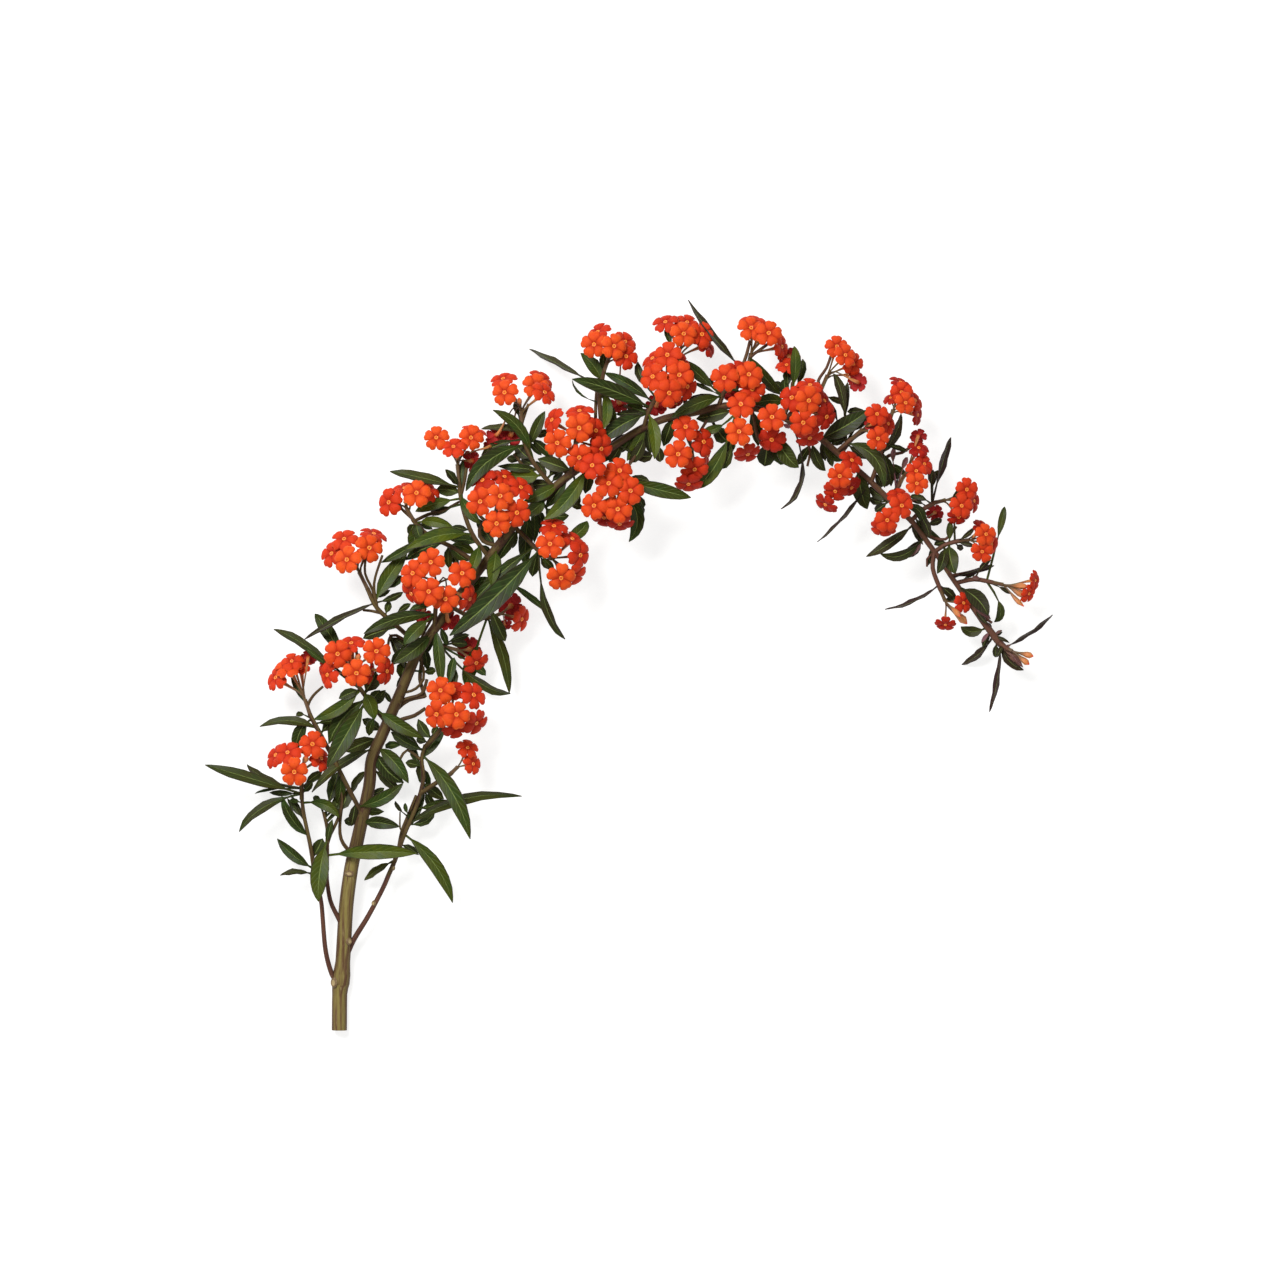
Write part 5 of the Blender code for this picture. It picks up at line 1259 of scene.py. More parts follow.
@dataclass(frozen=True)
class LeafFinish:
    """Leathery leaf: satin dark green face with a pale midrib and fine side veins.

    The face's green warms with the piece's tone, its edge is flushed purple-brown, and
    the underside is a dull grey-green. The midrib and the edge are found by how far off
    the middle line they lie, where 0.5 is the edge itself. Clouds, patches and the depth
    of the relief are in millimetres.
    """

    name: str = "leaf"
    dark: str = "#1E2406"
    fresh: str = "#4E580E"
    cool: str = "#2C4214"
    rib: str = "#80904E"
    edge: str = "#2C1C12"
    under: str = "#5C6236"
    flush: str = "#301C1A"
    roughness: float = 0.42
    under_roughness: float = 0.6
    veins: float = 13.0
    vein_slant: float = 5.0
    vein_share: float = 0.12
    vein_sink: float = -0.3
    relief_depth: float = 0.25
    cloud: float = 11.11
    patch: float = 16.67

    def upper(self) -> Material:
        """Makes the upper face's material.

        Returns:
            The material.
        """
        coat = Coat(f"{self.name}_face", self.roughness, self.dark, Specular_IOR_Level=SOFT_SHEEN)
        coat.lay(self.fresh, coat.node("Attribute", {}, "Fac", attribute_name="tone"))
        along, off = coat.sheet()
        row = coat.node("Math", {0: along, 1: self.veins}, operation="MULTIPLY")
        back = coat.node("Math", {0: off, 1: self.vein_slant}, operation="MULTIPLY")
        slant = coat.node("Math", {0: row, 1: back}, operation="SUBTRACT")
        turn = coat.node("Math", {0: slant, 1: 2 * math.pi}, operation="MULTIPLY")
        wave = coat.node("Math", {0: turn}, operation="SINE")
        vein = coat.node("MapRange", {0: wave, 1: 0.55, 2: 1.0}, **SMOOTH)
        coat.lay(self.cool, coat.grain(self.cloud, 4.0), (0.4, 0.65), 0.8)
        coat.lay(self.rib, coat.node("Math", {0: vein, 1: self.vein_share}, operation="MULTIPLY"))
        coat.lay(self.flush, coat.node("Attribute", {}, "Fac", attribute_name="flush"))
        coat.lay(self.rib, off, (0.15, 0.08), 0.8)
        coat.lay(self.edge, off, (0.44, 0.49), 0.7)
        sunk = coat.node("Math", {0: vein, 1: self.vein_sink}, operation="MULTIPLY")
        raised = coat.node("MapRange", {0: off, 1: 0.0, 2: 0.17}, **SMOOTH)
        relief = coat.node("Math", {0: sunk, 1: raised}, operation="ADD")
        return coat.finish(relief, self.relief_depth)

    def lower(self) -> Material:
        """Makes the underside's material.

        Returns:
            The material.
        """
        coat = Coat(f"{self.name}_underside", self.under_roughness, self.under,
                    Specular_IOR_Level=SOFT_SHEEN)
        coat.lay(self.flush, coat.grain(self.patch), (0.4, 0.7), 0.8, 0.1)
        coat.lay(self.rib, coat.sheet()[1], (0.16, 0.1), 0.7)
        return coat.finish()


@dataclass(frozen=True)
class BarkFinish:
    """Young bark: thin, matte, streaked along the stem, with pores, and with painted shade that darkens it
    to reddish brown down its flanks.

    The sizes of its streaks, lines and pores are in millimetres.
    """

    name: str
    ground: str
    streak: str
    pale: str
    young: str
    painted_flank_shade: str = "#4A2A1C"
    roughness: float = 0.7
    streak_size: float = 2.0
    line_size: float = 0.625
    line_depth: float = 0.3
    pore_size: float = 2.381
    young_share: float = 0.8

    def make(self) -> Material:
        """Makes the bark's material, whose streaks follow the round of the stem.

        Returns:
            The material.
        """
        coat = Coat(self.name, self.roughness, self.ground, Specular_IOR_Level=SKIN_SHEEN)
        coat.lay(self.streak, coat.grain(self.streak_size, 4.0, follows=Follows.STEM), (0.42, 0.62))
        flush = coat.node("Attribute", {}, "Fac", attribute_name="flush")
        young = coat.node("Math", {0: flush, 1: self.young_share}, operation="MULTIPLY")
        coat.lay(self.young, young)
        lines = coat.grain(self.line_size, follows=Follows.STEM)
        coat.lay(self.pale, lines, (0.55, 0.75), 0.6)
        # Painted shade: where the stem's surface turns away from the light above, down its flanks, it is
        # darkened towards reddish brown.
        top = coat.node("Attribute", {}, "Fac", attribute_name="top")
        coat.lay(self.painted_flank_shade, top, (0.95, 0.35), 0.75)
        pores = coat.node("TexVoronoi", {"Scale": 1.0 / (self.pore_size * MM)}, "Distance")
        coat.lay(self.pale, pores, (0.16, 0.05), 0.5)
        return coat.finish(lines, self.line_depth)


@dataclass(frozen=True)
class CutWoodFinish:
    """Cut and scarred wood: pale round a soft cream pith, with fibres that give it a fine tooth.

    The size and depth of the fibres are in millimetres.
    """

    wood: str = "#C9B98A"
    pith: str = "#EFE6C8"
    rim: str = "#5E4228"
    scar: str = "#AA9468"
    fibre: str = "#A89468"
    roughness: float = 0.75
    fibre_size: float = 0.55556
    fibre_depth: float = 0.15

    def make(self, name: str, colour: str) -> Material:
        """Makes the material of one part of the cut or of a scar.

        Args:
            name: The material's name.
            colour: Its colour.

        Returns:
            The material.
        """
        coat = Coat(name, self.roughness, colour)
        fibres = coat.grain(self.fibre_size)
        coat.lay(self.fibre, fibres, (0.3, 0.7), 0.5)
        return coat.finish(fibres, self.fibre_depth)


def deselect_all() -> None:
    """Deselects everything."""
    bpy.ops.object.select_all(action="DESELECT")


def choose(piece: Piece) -> None:
    """Makes a piece the only selected one, and the active one.

    Args:
        piece: The piece.
    """
    deselect_all()
    piece.select_set(True)
    bpy.context.view_layer.objects.active = piece


@contextmanager
def editing(everything: bool = True) -> Iterator[None]:
    """Opens edit mode on the active piece, with all of it selected if asked, and closes it.

    Args:
        everything: Whether all of the piece is selected first.

    Returns:
        Nothing, while edit mode is open.
    """
    bpy.ops.object.mode_set(mode="EDIT")
    if everything:
        bpy.ops.mesh.select_all(action="SELECT")
    yield
    bpy.ops.object.mode_set(mode="OBJECT")


def pick(piece: Piece, test: Callable[[int], bool]) -> None:
    """Selects the corners of a piece in edit mode whose numbers pass a test.

    Args:
        piece: The piece.
        test: Says for a corner's number whether it's selected.
    """
    shell = bmesh.from_edit_mesh(piece.data)
    shell.select_mode = {"VERT"}
    for corner in shell.verts:
        corner.select = test(corner.index)
    shell.select_flush_mode()
    bmesh.update_edit_mesh(piece.data)


def move(x: float = 0.0, y: float = 0.0, z: float = 0.0) -> None:
    """Moves what is selected, in millimetres."""
    bpy.ops.transform.translate(value=(x * MM, y * MM, z * MM))


def use_material(piece: Piece, index: int) -> None:
    """Gives the selected faces of a piece in edit mode one of its materials."""
    piece.active_material_index = index
    bpy.ops.object.material_slot_assign()


def active_with(*materials: Material) -> Piece:
    """Gives the active piece some materials.

    Args:
        materials: The materials in order.

    Returns:
        The piece.
    """
    piece = bpy.context.object
    for material in materials:
        piece.data.materials.append(material)
    return piece


def grid_sheet(name: str, columns: Sequence[tuple[float, float]],
               rows: Sequence[tuple[float, float, float]]) -> Piece:
    """Models a thin sheet along the X axis, such as a petal or a blade.

    Args:
        name: The sheet's name.
        columns: For each column, its share of the half width and its height in the widest
            row.
        rows: For each row, its place along X, its half width and its height.

    Returns:
        The sheet, in object mode.
    """
    deselect_all()
    along, across = len(rows) - 1, len(columns) - 1
    bpy.ops.mesh.primitive_grid_add(x_subdivisions=along, y_subdivisions=across, size=2 * MM)
    sheet = bpy.context.object
    sheet.name = sheet.data.name = name
    spots = [(round((corner.co.x / MM + 1) * along / 2), round((corner.co.y / MM + 1) * across / 2))
             for corner in sheet.data.vertices]
    widest = max(half_width for _, half_width, _ in rows)
    with editing(everything=False):
        for column, (share, height) in enumerate(columns):
            pick(sheet, lambda index: spots[index][1] == column)
            move(y=share - (2 * column / across - 1), z=height)
        for row, (x, half_width, height) in enumerate(rows):
            pick(sheet, lambda index: spots[index][0] == row)
            bpy.ops.transform.resize(value=(1.0, half_width, half_width / widest),
                                     center_override=(0.0, 0.0, 0.0))
            move(x=x - (2 * row / along - 1), z=height)
    return sheet


def copied(master: Piece) -> Piece:
    """Copies a finished model with a mesh of its own.

    Args:
        master: The model.

    Returns:
        The copy.
    """
    twin = master.copy()
    twin.data = master.data.copy()
    bpy.context.collection.objects.link(twin)
    return twin


def joined(name: str, parts: Sequence[Piece]) -> Piece:
    """Joins parts into one piece.

    Args:
        name: The joined piece's name.
        parts: The parts.

    Returns:
        The joined piece, which is the first part.
    """
    choose(parts[0])
    for part in parts:
        part.select_set(True)
    if len(parts) > 1:
        bpy.ops.object.join()
    piece = bpy.context.object
    piece.name = piece.data.name = name
    return piece


def give_thickness(sheet: Piece, thickness: float) -> None:
    """Thickens a sheet about its middle, with its second material on the underside.

    Args:
        sheet: The sheet.
        thickness: Its thickness in millimetres.
    """
    choose(sheet)
    wall = sheet.modifiers.new("thickness", "SOLIDIFY")
    wall.thickness = thickness * MM
    wall.offset = 0.0
    wall.material_offset = 1
    bpy.ops.object.modifier_apply(modifier=wall.name)


def write(piece: Piece, name: str, values: Union[float, Sequence[float]],
          kind: str = "FLOAT", field: str = "value") -> None:
    """Writes numbers on the corners of a piece, for its material to read.

    Args:
        piece: The piece.
        name: The name that its material reads them by.
        values: One number for all corners, or the numbers of each corner in turn.
        kind: The type of the numbers.
        field: The name of the numbers' field, which goes with the type.
    """
    layer = piece.data.attributes.new(name, kind, "POINT")
    if isinstance(values, float):
        values = [values] * len(piece.data.vertices)
    layer.data.foreach_set(field, values)


def mark_rods(piece: Piece, paths: Sequence[StemPath],
              ripe: Sequence[tuple[float, float]]) -> None:
    """Writes on every corner of stems where on its stem it lies, for their material to read.

    Args:
        piece: The stems.
        paths: The path of each stem.
        ripe: For each stem how cup-like its colour is at its start and end, from 0 to 1.
    """
    tree = KDTree(sum(len(path) for path in paths))
    spots = []
    for path, (start, end) in zip(paths, ripe):
        passed = 0.0
        for index, (place, _) in enumerate(path):
            passed += (place - path[max(index - 1, 0)][0]).length
            tree.insert(place * MM, len(spots))
            spots.append((place, passed, start + (end - start) * index / (len(path) - 1)))
    tree.balance()
    sides, shares, tops = [], [], []
    for corner in piece.data.vertices:
        place, passed, share = spots[tree.find(corner.co)[1]]
        offset = corner.co / MM - place
        # How far each corner faces up, which the bark reads for its painted shade on the stems' flanks.
        tops.append(offset.z / max(offset.length, TINY))
        sides.extend(offset + Vector((passed, passed, passed)) * ALONG_SHARE)
        shares.append(share)
    write(piece, "side", sides, "FLOAT_VECTOR", "vector")
    write(piece, "cup", shares)
    write(piece, "top", tops)


def rods(name: str, paths: Sequence[StemPath], rounding: int, material: Material,
         ripe: Sequence[tuple[float, float]] = ()) -> Piece:
    """Models round stems along paths, with closed ends.

    Args:
        name: The piece's name.
        paths: For each stem its points, in millimetres, with its radius at each.
        rounding: How finely the stems are rounded.
        material: Their material.
        ripe: For each stem how cup-like its colour is at its start and end, if at all.

    Returns:
        The stems as one mesh.
    """
    deselect_all()
    curve = bpy.data.curves.new(name, "CURVE")
    curve.dimensions = "3D"
    curve.bevel_depth = MM
    curve.bevel_resolution = rounding
    curve.use_fill_caps = True
    for path in paths:
        spline = curve.splines.new("POLY")
        spline.points.add(len(path) - 1)
        for corner, (place, radius) in zip(spline.points, path):
            corner.co = (*(place * MM), 1.0)
            corner.radius = radius
    piece = bpy.data.objects.new(name, curve)
    bpy.context.collection.objects.link(piece)
    choose(piece)
    bpy.ops.object.convert(target="MESH")
    with editing():
        bpy.ops.mesh.remove_doubles(threshold=WELD_GAP * MM)
        bpy.ops.mesh.normals_make_consistent(inside=False)
    bpy.context.object.data.materials.clear()
    piece = active_with(material)
    mark_rods(piece, paths, ripe or [(0.0, 0.0)] * len(paths))
    return piece


def finish_piece(piece: Piece, slot: str, *nodes: str, angle: float = 50.0) -> None:
    """Smooths a finished piece, hangs it on the body and hides the CAD nodes that it replaces.

    Args:
        piece: The piece.
        slot: Not used.
        nodes: The CAD nodes that it replaces.
        angle: The sharpest edge in degrees that is still smoothed.
    """
    choose(piece)
    bpy.ops.object.shade_smooth_by_angle(angle=math.radians(angle))
    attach(piece, BODY)
    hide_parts(*nodes)


@dataclass
class FloretModel:
    """One open floret: five petals round a fleshy throat, modelled once and copied."""

    petal_rows: tuple = ((0.6, 0.5, -0.2), (1.7, 1.25, 0.2), (3.1, 2.3, 0.55), (4.6, 3.2, 0.65),
                         (5.95, 3.6, 0.3), (7.05, 3.05, -0.4), (7.85, 1.8, -1.2))
    petal_columns: tuple = ((-1.0, -1.15), (-0.62, -0.3), (0.0, 0.0), (0.62, -0.3), (1.0, -1.15))
    petal_thickness: float = 0.25
    notch: float = 0.35
    notch_from: float = 7.8
    notch_half_width: float = 0.1
    ring_radius: float = 0.95
    ring_thickness: float = 0.3
    ring_height: float = 0.1
    well_radius: float = 0.7
    well_flatness: float = 0.5
    petal_growth: float = 0.024
    petal_shrink: float = 0.06
    petal_droop: float = 0.8
    lean: float = 0.22
    finish: PetalFinish = PetalFinish()
    throat: ThroatFinish = ThroatFinish()
    master: Optional[Piece] = None

    def build(self) -> None:
        """Models the floret about the origin, looking up, with its first petal along X."""
        grid_sheet("floret", self.petal_columns, self.petal_rows)
        petal = active_with(self.finish.upper(), self.finish.lower())
        places = [corner.co / MM for corner in petal.data.vertices]
        with editing(everything=False):
            pick(petal, lambda index: places[index].x > self.notch_from
                 and abs(places[index].y) < self.notch_half_width)
            move(x=-self.notch)
        give_thickness(petal, self.petal_thickness)
        with editing():
            bpy.ops.mesh.spin(steps=PETALS - 1, dupli=True,
                              angle=2 * math.pi * (PETALS - 1) / PETALS,
                              center=(0.0, 0.0, 0.0), axis=(0.0, 0.0, 1.0))
        deselect_all()
        bpy.ops.mesh.primitive_torus_add(
            major_radius=self.ring_radius * MM, minor_radius=self.ring_thickness * MM,
            major_segments=10, minor_segments=5, location=(0.0, 0.0, self.ring_height * MM))
        ring = active_with(self.throat.make("floret_throat_ring", self.throat.ring))
        bpy.ops.object.transform_apply(location=True, rotation=False, scale=False)
        deselect_all()
        bpy.ops.mesh.primitive_uv_sphere_add(segments=8, ring_count=4,
                                             radius=self.well_radius * MM)
        well = active_with(self.throat.make("floret_throat_well", self.throat.well))
        bpy.ops.transform.resize(value=(1.0, 1.0, self.well_flatness))
        bpy.ops.object.transform_apply(location=True, rotation=False, scale=True)
        self.master = joined("floret_model", [petal, ring, well])

    def copy_at(self, head: Head, tone: float, rng: random.Random) -> Piece:
        """Copies the floret onto its stalk, with petals that differ a little.

        Args:
            head: Where it stands.
            tone: Its colour, from orange at 0 to crimson at 1.
            rng: The source of its chance differences.

        Returns:
            The copy.
        """
        twin = copied(self.master)
        spreads = [1.0 + rng.uniform(-self.petal_shrink, self.petal_growth)
                   for _ in range(PETALS)]
        droops = [rng.uniform(-self.petal_droop, self.petal_droop) for _ in range(PETALS)]
        for corner in twin.data.vertices:
            flat = math.hypot(corner.co.x, corner.co.y) / MM
            angle = math.atan2(corner.co.y, corner.co.x)
            petal = round(angle / (2 * math.pi) * PETALS) % PETALS
            corner.co.x *= spreads[petal]
            corner.co.y *= spreads[petal]
            corner.co.z += droops[petal] * (flat / FLORET_RADIUS) ** 2 * MM
        right, up, facing = head.axes()
        facing = (facing + right * rng.uniform(-self.lean, self.lean)
                  + up * rng.uniform(-self.lean, self.lean)).normalized()
        up = facing.cross(right).normalized()
        right = up.cross(facing)
        turn = head.turn + math.pi / PETALS
        across = right * math.cos(turn) + up * math.sin(turn)
        turned = Matrix((across, facing.cross(across), facing)).transposed()
        placed = (turned * head.size).to_4x4()
        placed.translation = head.centre * MM
        twin.data.transform(placed)
        write(twin, "tone", min(max(tone, 0.0), 1.0))
        return twin


@dataclass
class BloomPiece:
    """One flower head: its florets, and the forked stalk with its cups and buds."""

    bloom: Bloom
    heads: list[Head]
    age: float
    model: FloretModel
    stalk_material: Material
    pedicel_radii: tuple = (0.6, 0.52, 0.58, 0.85, 1.35, 1.95)
    bud_radii: tuple = (0.6, 0.6, 0.7, 1.5, 2.0, 0.3)
    step: float = 2.0
    waist: float = 0.92
    leaving_share: float = 0.25
    bud_bend: float = 0.7
    cup_depth: float = 0.35
    cup_share: float = 0.28
    ageing: float = 0.3
    shade_depth: float = 60.0
    tone_spread: float = 0.12

    def pedicel(self, head: Head) -> StemPath:
        """Bends one stalk from the fork up to the back of its floret.

        Args:
            head: The floret or bud.

        Returns:
            The stalk's middle line.
        """
        way = (self.heads[0].fork - self.heads[0].start).normalized()
        chord = head.centre - head.start
        if head.look is Look.BUD:
            end = head.bud_end()
            behind = head.start.lerp(end, self.bud_bend)
            radii = self.bud_radii
        else:
            end = head.centre - head.facing() * self.cup_depth * head.size
            behind = end - head.facing() * chord.length * self.cup_share
            radii = self.pedicel_radii
        start_way = (way + chord.normalized()).normalized()
        leaving = head.start + start_way * chord.length * self.leaving_share
        corners = [head.start, leaving, behind, end]
        points = [place for place, _ in smooth_path(corners, [0.0] * 4, self.step)]
        shaped = []
        for index, place in enumerate(points):
            spot = index / (len(points) - 1) * (len(radii) - 1)
            low = min(int(spot), len(radii) - 2)
            radius = radii[low] + (radii[low + 1] - radii[low]) * (spot - low)
            shaped.append((place, radius * head.size))
        return shaped

    def build(self, rng: random.Random) -> None:
        """Builds and dresses the head's two pieces.

        Args:
            rng: The source of the random draws.
        """
        florets = []
        top = max(head.centre.z for head in self.heads)
        for head in self.heads:
            if head.look is not Look.BUD:
                # The tone adds painted shade to the head's age and a random spread: crimson for florets
                # that face down (the look's tone) or sit below the head's top (shade_depth).
                tone = (head.look.tone + self.age * self.ageing
                        + (top - head.centre.z) / self.shade_depth
                        + rng.uniform(-self.tone_spread, self.tone_spread))
                florets.append(self.model.copy_at(head, tone, rng))
        before, fork = plan_point(self.bloom.path[-2]), plan_point(self.bloom.path[-1])
        start = before + (fork - before).normalized() * SHOOT_STEP
        stalk = [(start, STALK_RADIUS), (start.lerp(fork, 0.5), STALK_RADIUS * self.waist),
                 (fork, STALK_RADIUS)]
        paths = [stalk] + [self.pedicel(head) for head in self.heads]
        ripe = [(0.0, 0.0)] + [(0.0, 1.0)] * len(self.heads)
        stalks = rods(f"{self.bloom.name}_stalks", paths, 1, self.stalk_material, ripe)
        finish_piece(stalks, "leaf", self.bloom.name)
        if florets:
            petals = joined(f"{self.bloom.name}_florets", florets)
            finish_piece(petals, "petal", self.bloom.name)


@dataclass
class LeafModel:
    """One lance-shaped leaf with its short stalk, modelled once and bent along each midrib."""

    length: float = 50.0
    half_width: float = 4.0
    stalk_rows: tuple = (-0.1, -0.05)
    stalk_half_width: float = 0.65
    stalk_fold: float = 0.3
    foot_fold: float = 0.5
    outline: tuple = ((0.0, 0.16), (0.08, 0.45), (0.2, 0.8), (0.35, 0.98), (0.5, 1.0),
                      (0.65, 0.88), (0.8, 0.64), (0.92, 0.32), (1.0, 0.04))
    columns: tuple = ((-1.0, 0.9), (-0.55, 0.42), (-0.1, 0.0), (0.0, -0.12), (0.1, 0.0),
                      (0.55, 0.42), (1.0, 0.9))
    thickness: float = 0.45
    wave: float = 0.5
    wave_turn: float = 13.0
    wave_lag: float = 1.7
    twist: float = 0.25
    age_flush: float = 0.5
    roll_flush: float = 0.8
    least_flush: float = -0.1
    master: Optional[Piece] = None

    def build(self, face: Material, underside: Material) -> None:
        """Models the leaf along X from the foot of its blade.

        Args:
            face: The upper side's material.
            underside: The lower side's material.
        """
        rows = [(place * self.length, self.stalk_half_width, 0.0) for place in self.stalk_rows]
        rows += [(place * self.length, share * self.half_width, 0.0)
                 for place, share in self.outline]
        grid_sheet("leaf_model", self.columns, rows)
        self.master = active_with(face, underside)

    def copy_along(self, spine: Spine, tone: float, age: float,
                   rng: random.Random) -> Piece:
        """Copies the leaf and bends it along a midrib.

        Args:
            spine: The midrib.
            tone: Its colour, from dark at 0 to fresh green at 1.
            age: How near the spray's tip it grows, from 0 to 1.
            rng: The source of its chance differences.

        Returns:
            The copy.
        """
        twin = copied(self.master)
        phase = rng.uniform(0.0, 2 * math.pi)
        twist = rng.uniform(-self.twist, self.twist)
        stalk_length = -self.stalk_rows[0]
        size = spine.width / (2 * self.half_width)
        foot = spine.foot()
        for corner in twin.data.vertices:
            x, y, z = corner.co / MM
            place = x / self.length
            if place < 0:
                share = foot * (1 + place / stalk_length)
                across, z = y, z * self.stalk_fold
            else:
                share = foot + (1 - foot) * place
                across = y * size
                if place == 0.0:
                    z *= self.foot_fold
                wave = math.sin(phase + place * self.wave_turn + (y > 0) * self.wave_lag)
                z = z * size + self.wave * abs(y) / self.half_width * wave
            lean, normal = spine.cross(share, twist * max(place, 0.0))
            corner.co = (spine.centre(share) + lean * across + normal * z) * MM
        flush = age * self.age_flush + math.sin(spine.roll) * self.roll_flush + self.least_flush
        write(twin, "tone", tone)
        write(twin, "flush", min(max(flush, 0.0), 1.0))
        return twin


@dataclass
class LeafyStem:
    """A leafy stretch of stem: its skin with the shoots and twigs, and its leaves."""

    node: str
    layout: Layout
    skin: Material
    model: LeafModel
    small_model: LeafModel
    bract_model: LeafModel
    # Painted shade: the added small leaves, which lie behind the others, take only the darker part of the
    # tones.
    small_leaf_shaded_tone: float = 0.4
    small_ageing: float = 0.9
    young_from: float = 100.0
    young_reach: float = 250.0

    def paths(self) -> list[StemPath]:
        """Puts together the middle lines of the stem, its shoots and its twigs.

        Returns:
            The lines, each with its radii.
        """
        shoots = [smooth_path(axis, [SHOOT_RADIUS] * len(axis), STEM_STEP)
                  for axis in self.layout.axes[self.node][1:]]
        twigs = [stem_path(self.layout.rooted(self.node, twig))
                 for twig in MORE_TWIGS.get(self.node, ())]
        return [stem_path(LEAFY_AXES[self.node]), *shoots, *twigs]

    def added_spines(self, table: dict[str, tuple]) -> list[Spine]:
        """Returns the midribs of the node's leaves in a table of added leaves."""
        return [self.layout.added_spine(self.node, leaf)
                for leaf in leaves_of(table.get(self.node, ()))]

    def leaves(self, age: float, rng: random.Random) -> list[Piece]:
        """Copies and bends the stretch's leaves.

        Args:
            age: How near the spray's tip the stretch lies, from 0 to 1.
            rng: The source of their chance differences.

        Returns:
            The leaves of the frame, then the small ones and the bracts.
        """
        corners = FrameCorners(self.node)
        spines = [self.layout.spine(self.node, leaf, corners)
                  for leaf in leaves_of(LEAVES[self.node])]
        # The small added leaves draw their tone from the dark end only, as painted shade.
        return ([self.model.copy_along(spine, rng.uniform(0.0, 1.0), age, rng)
                 for spine in spines]
                + [self.small_model.copy_along(spine, rng.uniform(0.0, self.small_leaf_shaded_tone),
                                               age + rng.uniform(0.0, self.small_ageing), rng)
                   for spine in self.added_spines(MORE_LEAVES)]
                + [self.bract_model.copy_along(spine, rng.uniform(0.0, 1.0), 0.0, rng)
                   for spine in self.added_spines(BRACTS)])

    def build(self, rng: random.Random) -> int:
        """Builds and dresses the stretch's two pieces.

        Args:
            rng: The source of the random draws.

        Returns:
            How many leaves it has.
        """
        reach = (LEAFY_AXES[self.node][0][0] - self.young_from) / self.young_reach
        age = min(max(reach, 0.0), 1.0)
        stems = rods(f"{self.node}_skin", self.paths(), 2, self.skin)
        write(stems, "flush", age)
        finish_piece(stems, "bark", self.node)
        leaves = self.leaves(age, rng)
        count = len(leaves)
        piece = joined(f"{self.node}_leaves", leaves)
        give_thickness(piece, self.model.thickness)
        finish_piece(piece, "leaf", self.node)
        return count


@dataclass
class WoodyStem:
    """The bare foot of the spray: the stem's cut end, three twigs and the leaf scars."""

    bark: BarkFinish
    twig_bark: BarkFinish
    cut: CutWoodFinish = CutWoodFinish()
    wood_ring: float = 2.4
    scar_height: float = 0.9
    scar_top: float = 0.75
    scar_rim: float = 0.12
    scar_sink: float = 0.2
    scar_corners: int = 14
    scar_angle: float = 40.0

    def build(self) -> None:
        """Builds and dresses the foot's pieces."""
        rods("woody_stem_bark", [stem_path(WOODY_STEM)], 3, self.bark.make())
        stem = active_with(self.cut.make("cut_wood", self.cut.wood),
                           self.cut.make("stem_pith", self.cut.pith))
        with editing():
            bpy.ops.mesh.bisect(plane_co=(0.0, 0.0, 0.0), plane_no=(0.0, 0.0, 1.0),
                                clear_inner=True, use_fill=True)
            shell = bmesh.from_edit_mesh(stem.data)
            foot = min(shell.faces, key=lambda face: face.calc_center_median().y)
            for face in shell.faces:
                face.select = face is foot
            bmesh.update_edit_mesh(stem.data)
            use_material(stem, 1)
            bpy.ops.mesh.inset(thickness=self.wood_ring * MM)
            use_material(stem, 2)
        finish_piece(stem, "bark", "woody_stem")
        twigs = [stem_path(path) for path in WOODY_TWIGS]
        bark = rods("woody_twigs_bark", twigs, 2, self.twig_bark.make())
        finish_piece(bark, "bark", "woody_stem")
        rim = self.cut.make("scar_rim", self.cut.rim)
        face = self.cut.make("scar_face", self.cut.scar)
        scars = joined("leaf_scars", [self.scar(scar, rim, face) for scar in SCARS])
        finish_piece(scars, "bark", "woody_stem", angle=self.scar_angle)

    def scar(self, scar: Scar, rim: Material,
             face: Material) -> Piece:
        """Models a leaf scar: a low shield with a corky rim and a pale sunken face.

        Args:
            scar: Where it stands and how large it is.
            rim: The rim's material.
            face: The sunken face's material.

        Returns:
            The scar.
        """
        deselect_all()
        bpy.ops.mesh.primitive_circle_add(vertices=self.scar_corners, radius=MM / 2,
                                          fill_type="NGON")
        shield = active_with(rim, face)
        with editing():
            bpy.ops.transform.resize(value=(scar.width, scar.length, 1.0))
            bpy.ops.mesh.extrude_region_move(
                TRANSFORM_OT_translate={"value": (0.0, 0.0, self.scar_height * MM)})
            bpy.ops.transform.resize(value=(self.scar_top, self.scar_top, 1.0))
            bpy.ops.mesh.inset(thickness=self.scar_rim * scar.width * MM)
            move(z=-self.scar_sink)
            use_material(shield, 1)
            bpy.ops.mesh.select_all(action="SELECT")
            bpy.ops.mesh.normals_make_consistent(inside=False)
        lean = math.radians(scar.lean)
        outward = Vector((-math.sin(lean), 0.0, math.cos(lean)))
        foot = (plan_point(scar.place) + outward * (scar.radius - self.scar_height / 2)) * MM
        shield.data.transform(Matrix.Translation(foot) @ Matrix.Rotation(-lean, 4, "Y"))
        return shield


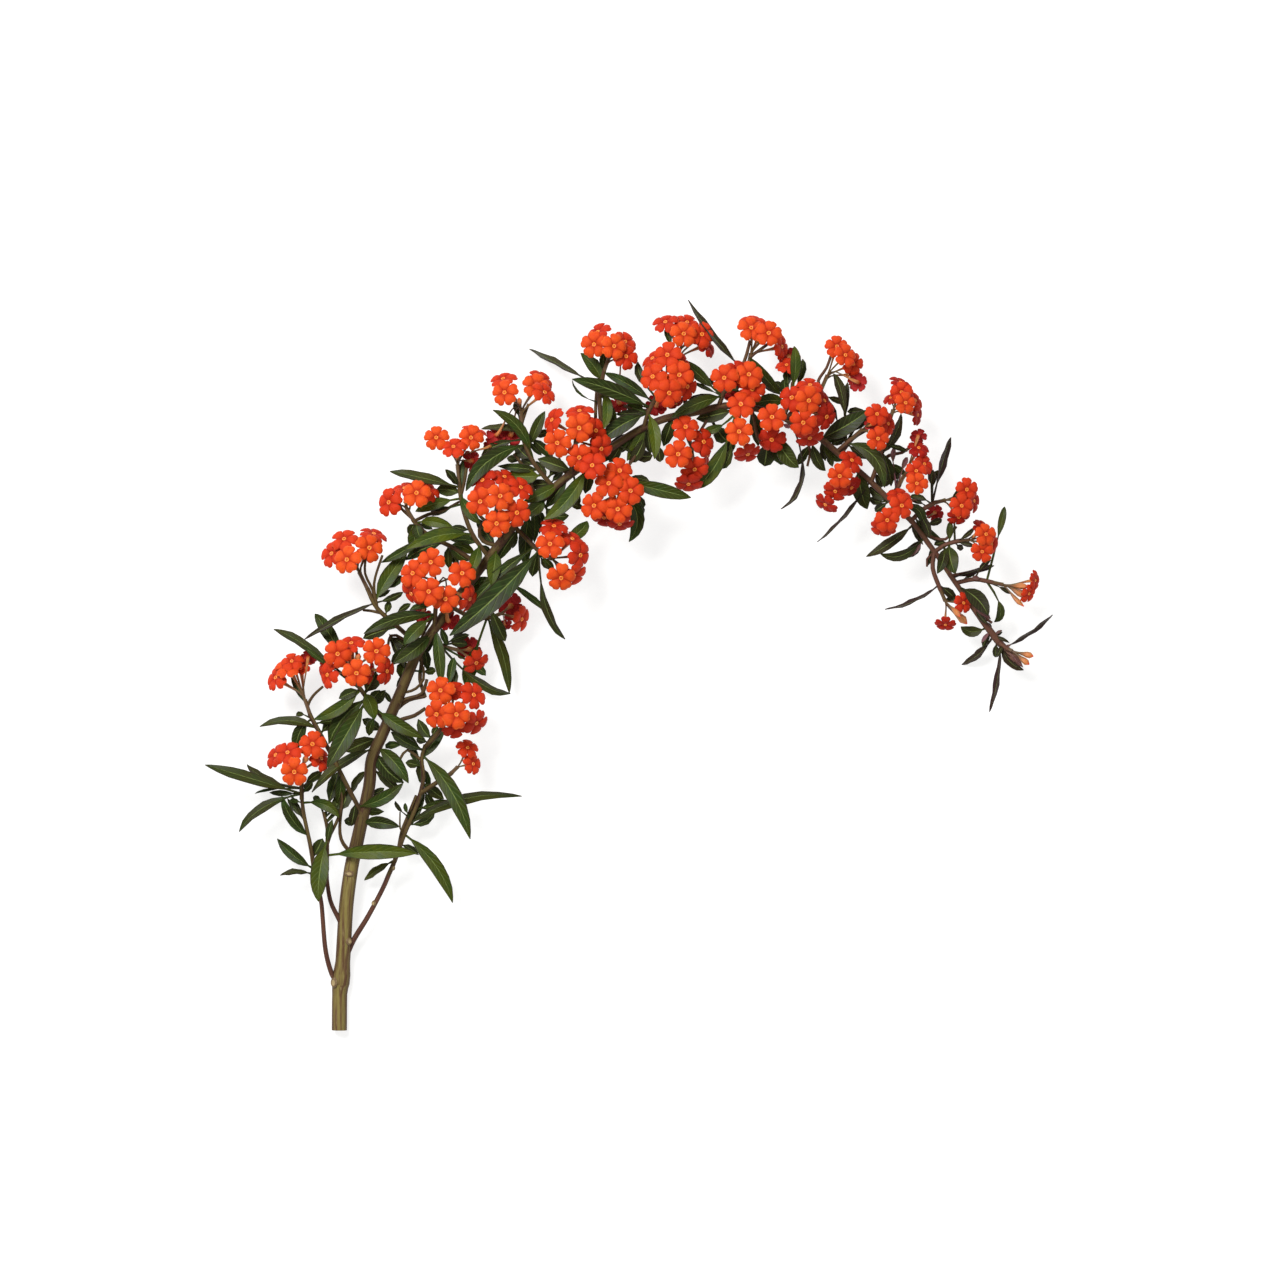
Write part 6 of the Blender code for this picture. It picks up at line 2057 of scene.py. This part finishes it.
@dataclass
class Studio:
    """The plain pale floor, the soft lamps and the camera over the spray."""

    floor_size: float = 6.0
    paper: str = "#ACACAA"
    paper_fibre: str = "#A4A4A2"
    paper_roughness: float = 0.9
    paper_glow: float = 0.74
    fibre_size: float = 2.5
    white: tuple = (1.0, 1.0, 1.0, 1.0)
    room_light: float = 0.32
    lamps: tuple = (("key_lamp", (-0.8, 1.0, 1.7), 44.0, 0.8),
                    ("fill_lamp", (1.1, -0.6, 1.5), 8.0, 1.4))
    camera_place: Point3 = (0.0061, 0.0146, 3.52)
    lens: float = 179.0
    sensor: float = 36.0
    sight: float = 20.0

    def build(self) -> None:
        """Sets up the floor, the lamps, the camera and the world."""
        deselect_all()
        bpy.ops.mesh.primitive_plane_add(size=self.floor_size, location=(0.0, 0.0, 0.0))
        coat = Coat("matt_white_paper", self.paper_roughness, self.paper,
                    Emission_Color=self.white, Emission_Strength=self.paper_glow)
        coat.lay(self.paper_fibre, coat.grain(self.fibre_size, 4.0))
        floor = active_with(coat.finish())
        floor.name = "floor"
        for name, place, power, size in self.lamps:
            self.add_lamp(name, place, power, size)
        world = bpy.data.worlds.new("pale_room")
        world.use_nodes = True
        light = world.node_tree.nodes["Background"]
        light.inputs["Color"].default_value = self.white
        light.inputs["Strength"].default_value = self.room_light
        bpy.context.scene.world = world
        deselect_all()
        bpy.ops.object.camera_add(location=self.camera_place, rotation=(0, 0, 0))
        camera = bpy.context.object
        camera.data.lens = self.lens
        camera.data.sensor_width = self.sensor
        camera.data.clip_end = self.sight
        bpy.context.scene.camera = camera
        bpy.context.scene.view_settings.view_transform = "Standard"

    def add_lamp(self, name: str, place: Point3, power: float, size: float) -> None:
        """Adds a large soft lamp that looks at the middle of the spray.

        Args:
            name: The lamp's name.
            place: Where it hangs, in metres.
            power: Its power in watts.
            size: The side of its square, in metres.
        """
        deselect_all()
        turn = (-Vector(place)).to_track_quat("-Z", "Y").to_euler()
        bpy.ops.object.light_add(type="AREA", location=place, rotation=turn)
        lamp = bpy.context.object
        lamp.name = name
        lamp.data.energy = power
        lamp.data.size = size


def leaf_models() -> list[LeafModel]:
    """Models a leaf, a plainer small leaf and a mauve bract.

    Returns:
        The three models in that order.
    """
    plainer = {"stalk_rows": (-0.1,),
               "outline": ((0.0, 0.2), (0.22, 0.82), (0.5, 1.0), (0.78, 0.68), (1.0, 0.05)),
               "columns": ((-1.0, 0.9), (-0.12, 0.0), (0.12, 0.0), (1.0, 0.9))}
    green = LeafFinish()
    mauve = LeafFinish("bract", dark="#5A3A34", fresh="#94646C", cool="#70503E", rib="#A87C84",
                       edge="#3A2020", under="#8C6468", flush="#7C4E58")
    green_coats, mauve_coats = (green.upper(), green.lower()), (mauve.upper(), mauve.lower())
    models = [LeafModel(), LeafModel(**plainer), LeafModel(**plainer)]
    for model, coats in zip(models, (green_coats, green_coats, mauve_coats)):
        model.build(*coats)
    return models


def main() -> None:
    """Builds the spray's pieces in order, and the studio round them."""
    logging.basicConfig(level=logging.INFO, format="%(message)s")
    rng = random.Random(SEED)
    layout = Layout()
    WoodyStem(BarkFinish("stem_bark", "#84763E", "#5E4028", "#B0A26C", "#6A4A3C"),
              BarkFinish("twig_bark", "#5E3A2A", "#40221C", "#86663F", "#6E4436")).build()
    log.info("woody stem built")
    stem_skin = BarkFinish("young_stem_skin", "#5A4A22", "#3E2416", "#7C6A3E", "#6A3E34").make()
    models = leaf_models()
    for node in LEAFY_AXES:
        count = LeafyStem(node, layout, stem_skin, *models).build(rng)
        log.info("%s: %d leaves", node, count)
    floret_model = FloretModel()
    floret_model.build()
    stalk_material = StalkFinish().make()
    for index, bloom in enumerate(BLOOMS):
        heads = layout.heads(bloom)
        BloomPiece(bloom, heads, index / len(BLOOMS), floret_model, stalk_material).build(rng)
        log.info("%s: %d florets and buds", bloom.name, len(heads))
    for model in (floret_model, *models):
        bpy.data.objects.remove(model.master)
    Studio().build()


if __name__ == "__main__":
    main()
